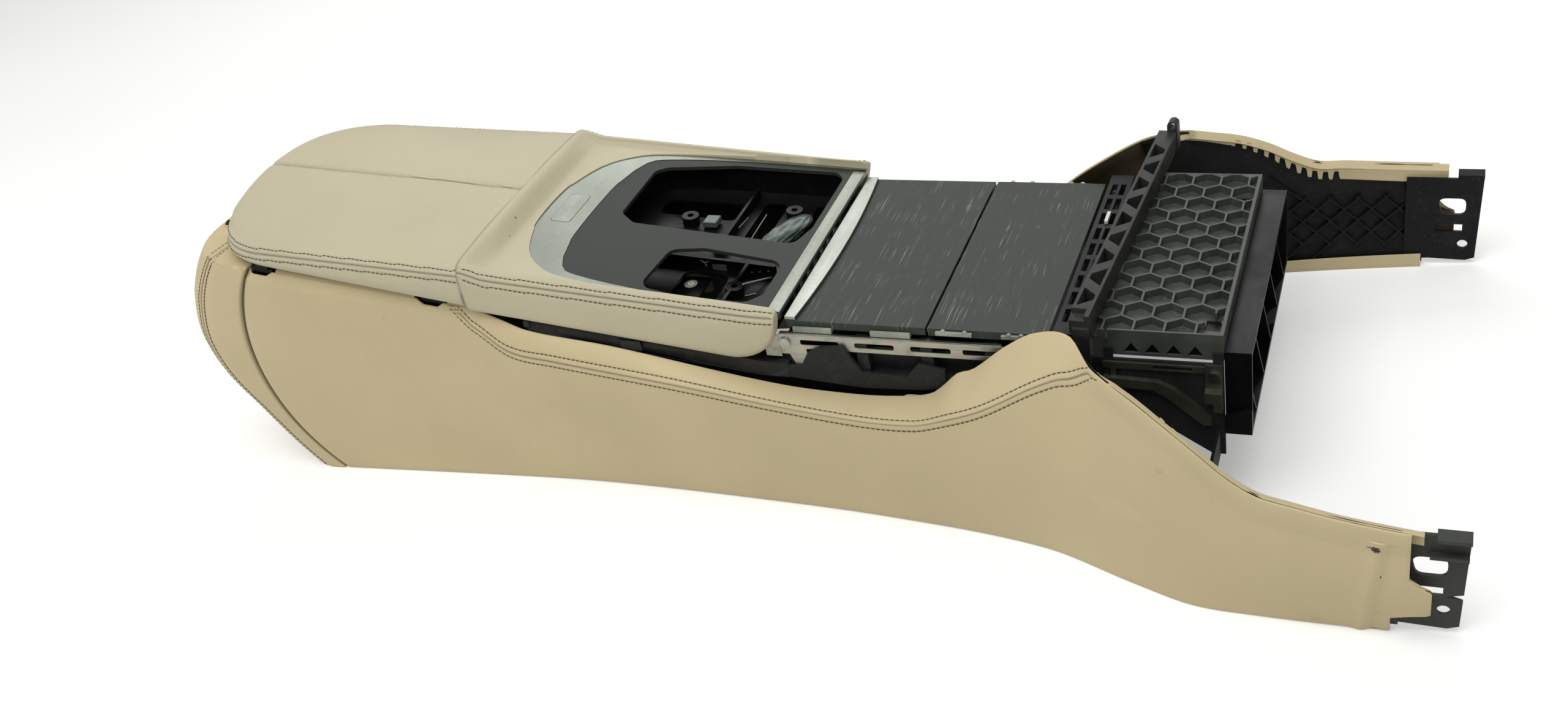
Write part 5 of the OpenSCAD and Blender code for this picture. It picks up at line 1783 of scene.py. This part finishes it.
def build_stage():
    """Floor, world, lights and camera."""
    scene = bpy.context.scene
    scene.view_settings.view_transform = "Standard"
    world = bpy.data.worlds.new("studio")
    scene.world = world
    world.use_nodes = True
    tree = world.node_tree
    back = tree.nodes["Background"]
    back.inputs["Color"].default_value = (1.0, 0.985, 0.95, 1.0)
    path = tree.nodes.new("ShaderNodeLightPath")
    mix = tree.nodes.new("ShaderNodeMapRange")
    mix.inputs["To Min"].default_value = 0.36
    mix.inputs["To Max"].default_value = 1.0
    tree.links.new(path.outputs["Is Camera Ray"], mix.inputs["Value"])
    tree.links.new(mix.outputs["Result"], back.inputs["Strength"])
    corners = [(x * FLOOR_HALF, y * FLOOR_HALF, 0) for x, y in ((-1, -1), (1, -1), (1, 1), (-1, 1))]
    mesh = new_mesh("floor", corners, [(0, 1, 2, 3)])
    floor = linked("floor", mesh)
    mesh.materials.append(stage_material())
    mesh.transform(Matrix.Translation((0, 0, -0.0004)))
    floor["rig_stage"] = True
    power = settings().light_power
    add_light("main_light", (0.3, -1.0, 2.7), (0, 0, 0.1), (2.6, 1.6), power, (0.97, 1.0, 1.01))
    add_light("back_light", (-0.4, 2.2, 1.9), (0, 0, 0.1), (2.4, 1.0), power * 0.42)
    add_light("side_light", (-2.4, -0.9, 1.3), (-0.1, 0, 0.1), (1.2, 1.4), power * 0.2)
    place_camera()


# Operators and panel


class CONSOLE_OT_side_leather(bpy.types.Operator):
    """Make both leather side panels and their stitching"""

    bl_idname = "console.side_leather"
    bl_label = "Side leather"

    def execute(self, context):
        side_leather()
        arm_hems()
        lid_piping()
        return {"FINISHED"}


class CONSOLE_OT_rear_leather(bpy.types.Operator):
    """Make the leather rear panel and its stitching"""

    bl_idname = "console.rear_leather"
    bl_label = "Rear leather"

    def execute(self, context):
        rear_leather()
        return {"FINISHED"}


class CONSOLE_OT_armrest(bpy.types.Operator):
    """Make the two padded armrest lids and their stitching"""

    bl_idname = "console.armrest"
    bl_label = "Armrest lids"

    def execute(self, context):
        armrest_lids()
        return {"FINISHED"}


class CONSOLE_OT_surround(bpy.types.Operator):
    """Make the padded surround of the shift plate"""

    bl_idname = "console.surround"
    bl_label = "Surround"

    def execute(self, context):
        surround()
        return {"FINISHED"}


class CONSOLE_OT_hard_parts(bpy.types.Operator):
    """Give metal and plastic parts their finish and rounded edges"""

    bl_idname = "console.hard_parts"
    bl_label = "Hard parts"

    def execute(self, context):
        hard_parts()
        cover_shade_sheets()
        rail_tabs()
        inner_fittings()
        return {"FINISHED"}


class CONSOLE_OT_stage(bpy.types.Operator):
    """Make the floor, the lights and the camera"""

    bl_idname = "console.stage"
    bl_label = "Stage"

    def execute(self, context):
        build_stage()
        return {"FINISHED"}


STEPS = [
    CONSOLE_OT_side_leather, CONSOLE_OT_rear_leather, CONSOLE_OT_armrest, CONSOLE_OT_surround,
    CONSOLE_OT_hard_parts, CONSOLE_OT_stage,
]


class CONSOLE_PT_panel(bpy.types.Panel):
    """Sizes, colours and steps of the console"""

    bl_idname = "CONSOLE_PT_panel"
    bl_label = "Centre console"
    bl_space_type = "VIEW_3D"
    bl_region_type = "UI"
    bl_category = "Console"

    def draw(self, context):
        layout = self.layout
        for name in ConsoleSettings.__annotations__:
            layout.prop(context.scene.console_settings, name)
        for step in STEPS:
            layout.operator(step.bl_idname)


def register():
    for cls in [ConsoleSettings, *STEPS, CONSOLE_PT_panel]:
        bpy.utils.register_class(cls)
    bpy.types.Scene.console_settings = bpy.props.PointerProperty(type=ConsoleSettings)


def unregister():
    del bpy.types.Scene.console_settings
    for cls in reversed([ConsoleSettings, *STEPS, CONSOLE_PT_panel]):
        bpy.utils.unregister_class(cls)


def main():
    register()
    for step in STEPS:
        group, name = step.bl_idname.split(".")
        getattr(getattr(bpy.ops, group), name)()
    bpy.context.view_layer.update()
    boxes = {"cad": cad_box, "scene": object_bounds()}
    plain = {key: [list(map(float, corner)) for corner in box] for key, box in boxes.items()}


if __name__ == "__main__":
    main()
